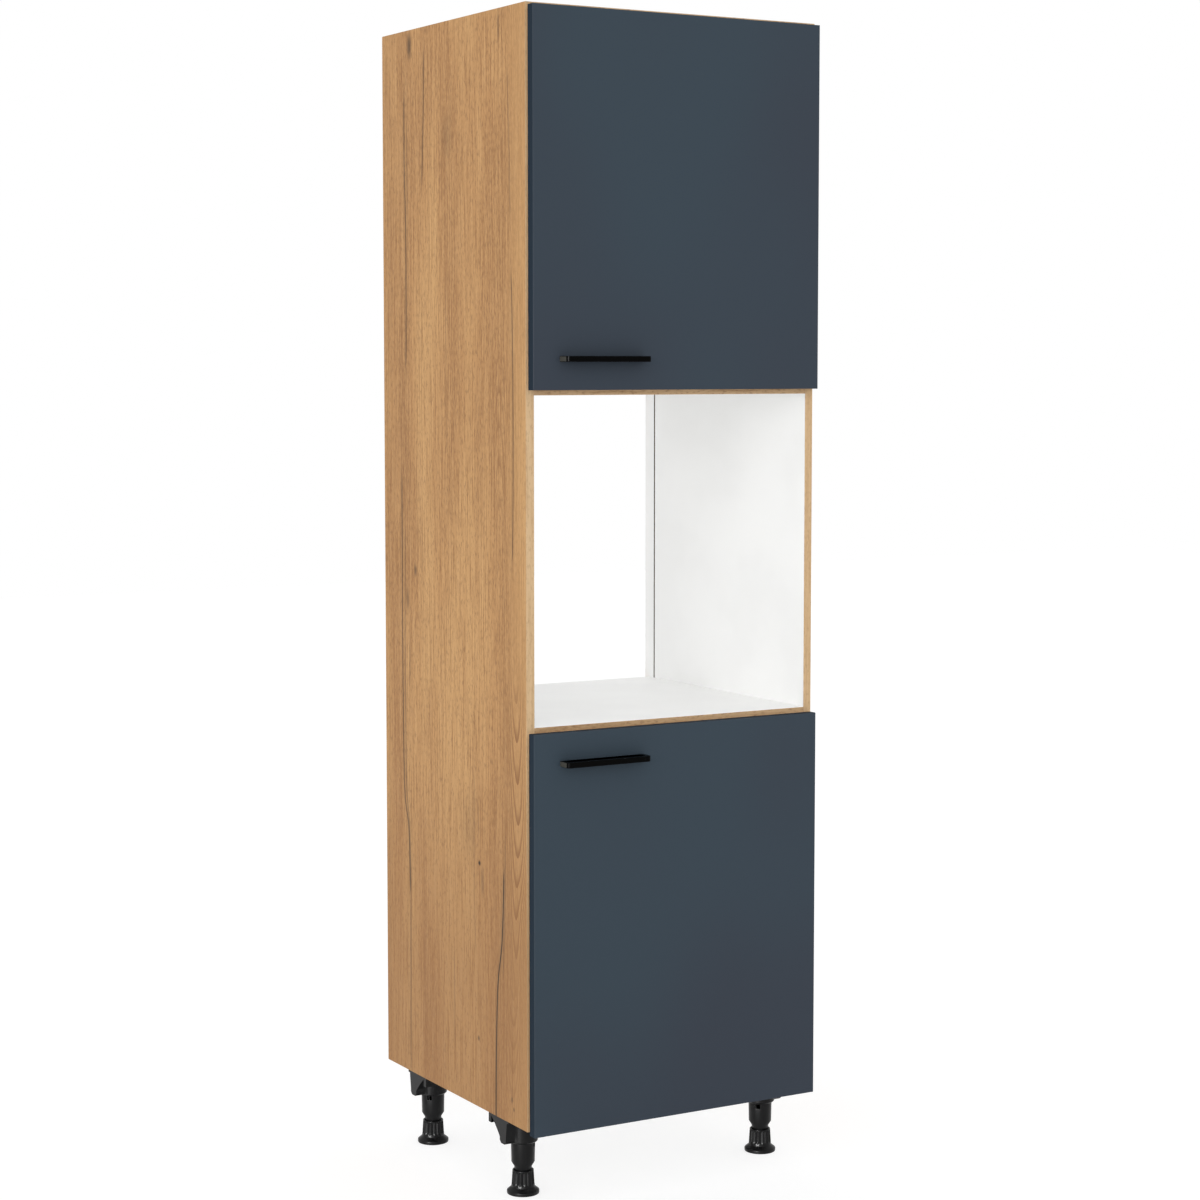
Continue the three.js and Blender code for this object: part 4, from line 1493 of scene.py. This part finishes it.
@dataclass
class AdjustableLeg:
    """One leg: bracket under the carcass, tube, and the screw foot."""

    corner: Corner
    flutes: FluteTree
    threads: ThreadTree
    arris: float = 0.6
    base_radius: float = 29.4
    base_height: float = 6.0
    flare_top: float = 15.0
    wall_bottom: float = 16.5
    wall_top: float = 42.1
    wall_rows: int = 14
    collar_top: float = 43.5
    collar_top_radius: float = 19.4
    collar_bottom_radius: float = 21.0
    collar_bore: float = 16.9
    well_floor: float = 24.5
    stem_root: float = 7.3
    stem_top: float = 77.5
    stem_sink: float = 2.0
    thread_pitch: float = 3.0
    thread_depth: float = 0.7
    thread_start: float = 1.0
    thread_margin: float = 4.0
    flute_count: float = 20.0
    flute_depth: float = 1.6
    flute_fade: float = 1.5
    faces_per_flute: float = 12.0
    plastic: Finish = MouldedPlastic()

    def place(self, piece: Piece, *nodes: str) -> None:
        """Moves a piece's points to the foot's axis on the floor and seats it.

        Args:
            piece: A piece of the foot, its axis on Z.
            nodes: The CAD nodes that it stands for.
        """
        low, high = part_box(f"{self.corner}_adjustable_foot")
        piece.data.transform(Matrix.Translation(((low.x + high.x) / 2, (low.y + high.y) / 2, low.z)))
        seat(piece, f"{self.corner}_foot", Slot.PLASTIC, *nodes)

    def foot(self) -> None:
        """Builds the foot: base, flare and fluted collar, turned as one."""
        outer = filleted(
            [
                (0.0, 0.0, 0),
                (self.base_radius, 0.0, 1.6),
                (self.base_radius, self.base_height, 1.4),
                (self.collar_bottom_radius + 0.4, self.flare_top - 2.6, 3.2),
                (self.collar_bottom_radius, self.wall_bottom, 0),
            ],
            steps=8,
        )
        taper, rise = self.collar_top_radius - self.collar_bottom_radius, self.wall_top - self.wall_bottom
        for row in range(1, self.wall_rows + 1):
            share = row / self.wall_rows
            outer.append((self.collar_bottom_radius + share * taper, self.wall_bottom + share * rise))
        rim = filleted(
            [
                (self.collar_top_radius, self.wall_top, 0),
                (self.collar_top_radius - 0.05, self.collar_top, 1.2),
                (self.collar_bore, self.collar_top, 0.5),
                (self.collar_bore, self.well_floor, 0.8),
                (0.0, self.well_floor, 0),
            ],
            steps=5,
        )
        faces = int(self.faces_per_flute * self.flute_count)
        foot = new_object(f"{self.corner}_foot_collar", turned([*outer, *rim[1:]], faces))
        values = {
            "Count": self.flute_count,
            "Depth": self.flute_depth * MM,
            "Wall radius": (self.collar_bore + 0.5) * MM,
            "Bottom": self.wall_bottom * MM,
            "Top": self.wall_top * MM,
            "Fade": self.flute_fade * MM,
        }
        fluted = smooth(self.flutes.run(foot, self.plastic, values), crease=50.0)
        self.place(fluted, f"{self.corner}_adjustable_foot")

    def stem(self) -> None:
        """Builds the threaded stem inside the collar."""
        bottom = self.well_floor - self.stem_sink
        profile = filleted(
            [
                (0.0, bottom, 0),
                (self.stem_root, bottom, 0),
                (self.stem_root, self.stem_top, 1.0),
                (0.0, self.stem_top, 0),
            ],
            steps=4,
        )
        stem = new_object(f"{self.corner}_foot_stem", turned(profile, segments=48))
        threaded = self.stem_top - self.well_floor - self.thread_margin
        values = {
            "Root radius": self.stem_root * MM,
            "Pitch": self.thread_pitch * MM,
            "Depth": self.thread_depth * MM,
            "Start height": (self.well_floor + self.thread_start) * MM,
            "Turns": float(math.floor(threaded / self.thread_pitch)),
        }
        self.place(smooth(self.threads.run(stem, self.plastic, values), crease=40.0))

    def build(self) -> None:
        """Builds the whole leg."""
        for part in ("leg_bracket", "leg_tube"):
            node = f"{self.corner}_{part}"
            refine(node, "moulding", "carcass", Slot.PLASTIC, self.plastic, arris=self.arris)
        self.foot()
        self.stem()


# ---------------------------------------------------------------- light and camera


@dataclass
class Studio:
    """Pale floor, soft light from the front left, and the photograph's camera."""

    sun_strength: float = 1.0
    sun_spread: float = 60.0
    sun_from: Triple = (-0.66, -0.70, 0.10)
    glint_strength: float = 6.0
    glint_spread: float = 6.0
    glint_from: Triple = (-0.82, -0.5, 0.10)
    sky: float = 0.92
    floor_half: float = 12.0
    floor_light: float = 0.94
    floor_shade: float = 0.3
    floor_glow: float = 0.76
    camera_spot: Triple = (-2.46526, -4.24815, 1.49446)
    camera_yaw: float = 0.52547
    camera_pitch: float = -0.07694
    lens: float = 78.67
    sensor: float = 36.0
    shift: float = -0.0283
    nearest: float = 0.05
    farthest: float = 100.0

    def world(self) -> None:
        """Sets an even pale sky that is white where the camera sees it."""
        world = bpy.data.worlds.new("studio sky")
        bpy.context.scene.world = world
        tree = own_tree(world)
        seen = add_node(tree, "ShaderNodeLightPath").outputs["Is Camera Ray"]
        strength = add_node(tree, "ShaderNodeMapRange", {"Value": seen, "To Min": self.sky, "To Max": 1.0})
        look = {"Color": (1, 1, 1, 1), "Strength": strength.outputs[0]}
        sky = add_node(tree, "ShaderNodeBackground", look).outputs[0]
        add_node(tree, "ShaderNodeOutputWorld", {"Surface": sky})

    def lamps(self) -> None:
        """Adds a wide, soft lamp and a small one that lights nothing and only draws highlights."""
        for name, strength, spread, way, lights in (
            ("soft lamp", self.sun_strength, self.sun_spread, self.sun_from, True),
            ("glint lamp", self.glint_strength, self.glint_spread, self.glint_from, False),
        ):
            lamp = bpy.data.lights.new(name, "SUN")
            lamp.energy = strength
            lamp.angle = math.radians(spread)
            held = in_scene(name, lamp)
            held.rotation_euler = facing(way)
            held.visible_diffuse = lights

    def floor(self) -> None:
        """Adds the floor: white to the camera but for the unit's soft shadow."""
        half = self.floor_half
        corners = ((-half, -half), (half, -half), (half, half), (-half, half))
        mesh = bmesh.new()
        mesh.faces.new([mesh.verts.new((x, y, 0.0)) for x, y in corners])
        floor = new_object("studio_floor", mesh)
        paint = bpy.data.materials.new("matt white floor")
        tree = own_tree(paint)
        rays = add_node(tree, "ShaderNodeLightPath").outputs
        either = {0: rays["Is Camera Ray"], 1: rays["Is Glossy Ray"]}
        seen = add_node(tree, MATH, either, operation="MAXIMUM").outputs[0]
        matt, faint = (
            add_node(tree, "ShaderNodeBsdfDiffuse", {"Color": (grey, grey, grey, 1)}).outputs[0]
            for grey in (self.floor_light, self.floor_shade)
        )
        shine = {"Color": (1, 1, 1, 1), "Strength": self.floor_glow}
        glow = add_node(tree, "ShaderNodeEmission", shine).outputs[0]
        white = add_node(tree, "ShaderNodeAddShader", {0: faint, 1: glow}).outputs[0]
        mix = add_node(tree, "ShaderNodeMixShader", {0: seen, 1: matt, 2: white}).outputs[0]
        add_node(tree, "ShaderNodeOutputMaterial", {"Surface": mix})
        floor.data.materials.append(paint)

    def camera(self) -> None:
        """Sets the camera where the photograph was taken."""
        yaw, pitch = self.camera_yaw, self.camera_pitch
        ahead = Vector((math.sin(yaw) * math.cos(pitch), math.cos(yaw) * math.cos(pitch), math.sin(pitch)))
        data = bpy.data.cameras.new("camera")
        data.lens = self.lens
        data.sensor_width = self.sensor
        data.shift_y = self.shift
        data.clip_start, data.clip_end = self.nearest, self.farthest
        camera = in_scene("camera", data)
        camera.location = self.camera_spot
        camera.rotation_euler = ahead.to_track_quat("-Z", "Y").to_euler()
        bpy.context.scene.camera = camera

    def build(self) -> None:
        """Sets up the studio."""
        bpy.context.scene.view_settings.view_transform = "Standard"
        self.world()
        self.lamps()
        self.floor()
        self.camera()
        log.info("studio set up")


def oak_finishes() -> tuple[OakDecor, OakDecor, OakDecor]:
    """The oak decor of the sides, with its cracks and knots, and the two edgings.

    Returns:
        The side decor, the upright edging and the level edging.
    """
    front = box_mm("left_side_panel")[0].y
    cracks = (
        Crack(((385, 2111), (392, 2040), (394, 1960), (406, 1780)), 2.2, 0.72),
        Crack(((470, 2040), (475.3, 1893.1), (470, 1707.1), (477, 1440)), 2.4, 0.8),
        Crack(((462, 1990), (464, 1880), (459, 1740)), 1.7, 0.45),
        Crack(((98.4, 2130), (98.9, 2030)), 2.2, 0.7),
        Crack(((72, 2050), (60, 1880), (56, 1700)), 1.7, 0.4),
        Crack(((62, 1700), (48, 1500), (48, 1257), (56, 1100)), 2.2, 0.68),
        Crack(((492, 1330), (488.8, 702.3), (470.4, 608.7), (463.4, 440)), 2.5, 0.8),
        Crack(((478.9, 1230.5), (481, 740), (466.4, 600.7), (462.4, 450.8)), 1.9, 0.55),
        Crack(((468, 1010), (462, 940), (466, 850)), 1.8, 0.5),
        Crack(((463.4, 520), (465.4, 319), (467.4, 100)), 1.6, 0.62),
        Crack(((84, 640), (92, 480), (112, 356.2), (119, 60)), 3, 0.92),
        Crack(((79.4, 700), (84, 500), (96, 350)), 1.8, 0.45),
        Crack(((196, 800), (200, 600), (190, 380)), 1.6, 0.28),
        Crack(((300, 1700), (306, 1500), (298, 1290)), 1.6, 0.25),
        Crack(((276, 460), (282, 330), (274, 190)), 1.8, 0.3),
        Crack(((188, 740), (183, 670), (181, 610)), 1.7, 0.35),
    )
    knots = (
        Knot(451.6, 2082.8, 9, 24, 0.72),
        Knot(300, 1905, 22, 40, 0.2),
        Knot(222, 655, 36, 64, 0.13),
        Knot(436.2, 1108, 6, 12, 0.55),
        Knot(470, 1050, 6, 22, 0.45),
        Knot(179.7, 593.3, 4.6, 4.6, 1),
        Knot(168, 560, 6, 26, 0.35),
        Knot(184.9, 269.9, 3.8, 5, 0.65),
        Knot(57.4, 186.2, 3.4, 6, 0.6),
        Knot(50, 169.9, 3, 4, 0.6),
    )
    figures = (
        Arches(40, 38, 330, 1000, 66, -0.26, 1),
        Arches(52, 34, 150, 420, 48, -0.16, 0.55),
        Arches(98, 34, 1180, 1560, 66, 0.18, 0.6),
        Arches(430, 40, 900, 1330, 80, 0.18, 0.3),
    )
    # The edging's front is a metre off, so that the whole edging is as pale as the front of the board.
    side = OakDecor(front=front, figures=figures, marks=(*cracks, *knots))
    edge = OakDecor("oak edging", pale="CDAE86", body="C3A279", deep="AD875D", front=front + METRE)
    level = OakDecor("oak edging level", grain=Grain.LEVEL, pale="CBAA83", body="C19F77", deep="A9855E")
    return side, edge, level


def main() -> None:
    """Builds the unit piece by piece, then the studio."""
    logging.basicConfig(level=logging.INFO, format="%(message)s")
    copies, threads, flutes = CopiesTree(), ThreadTree(), FluteTree()
    Carcass(*oak_finishes()).build()
    for level in Level:
        Shelf(level, copies).build()
        Door(level, copies).build()
        HingeArms(level, copies).build()
    for corner in Corner:
        AdjustableLeg(corner, flutes, threads).build()
    Studio().build()


if __name__ == "__main__":
    main()
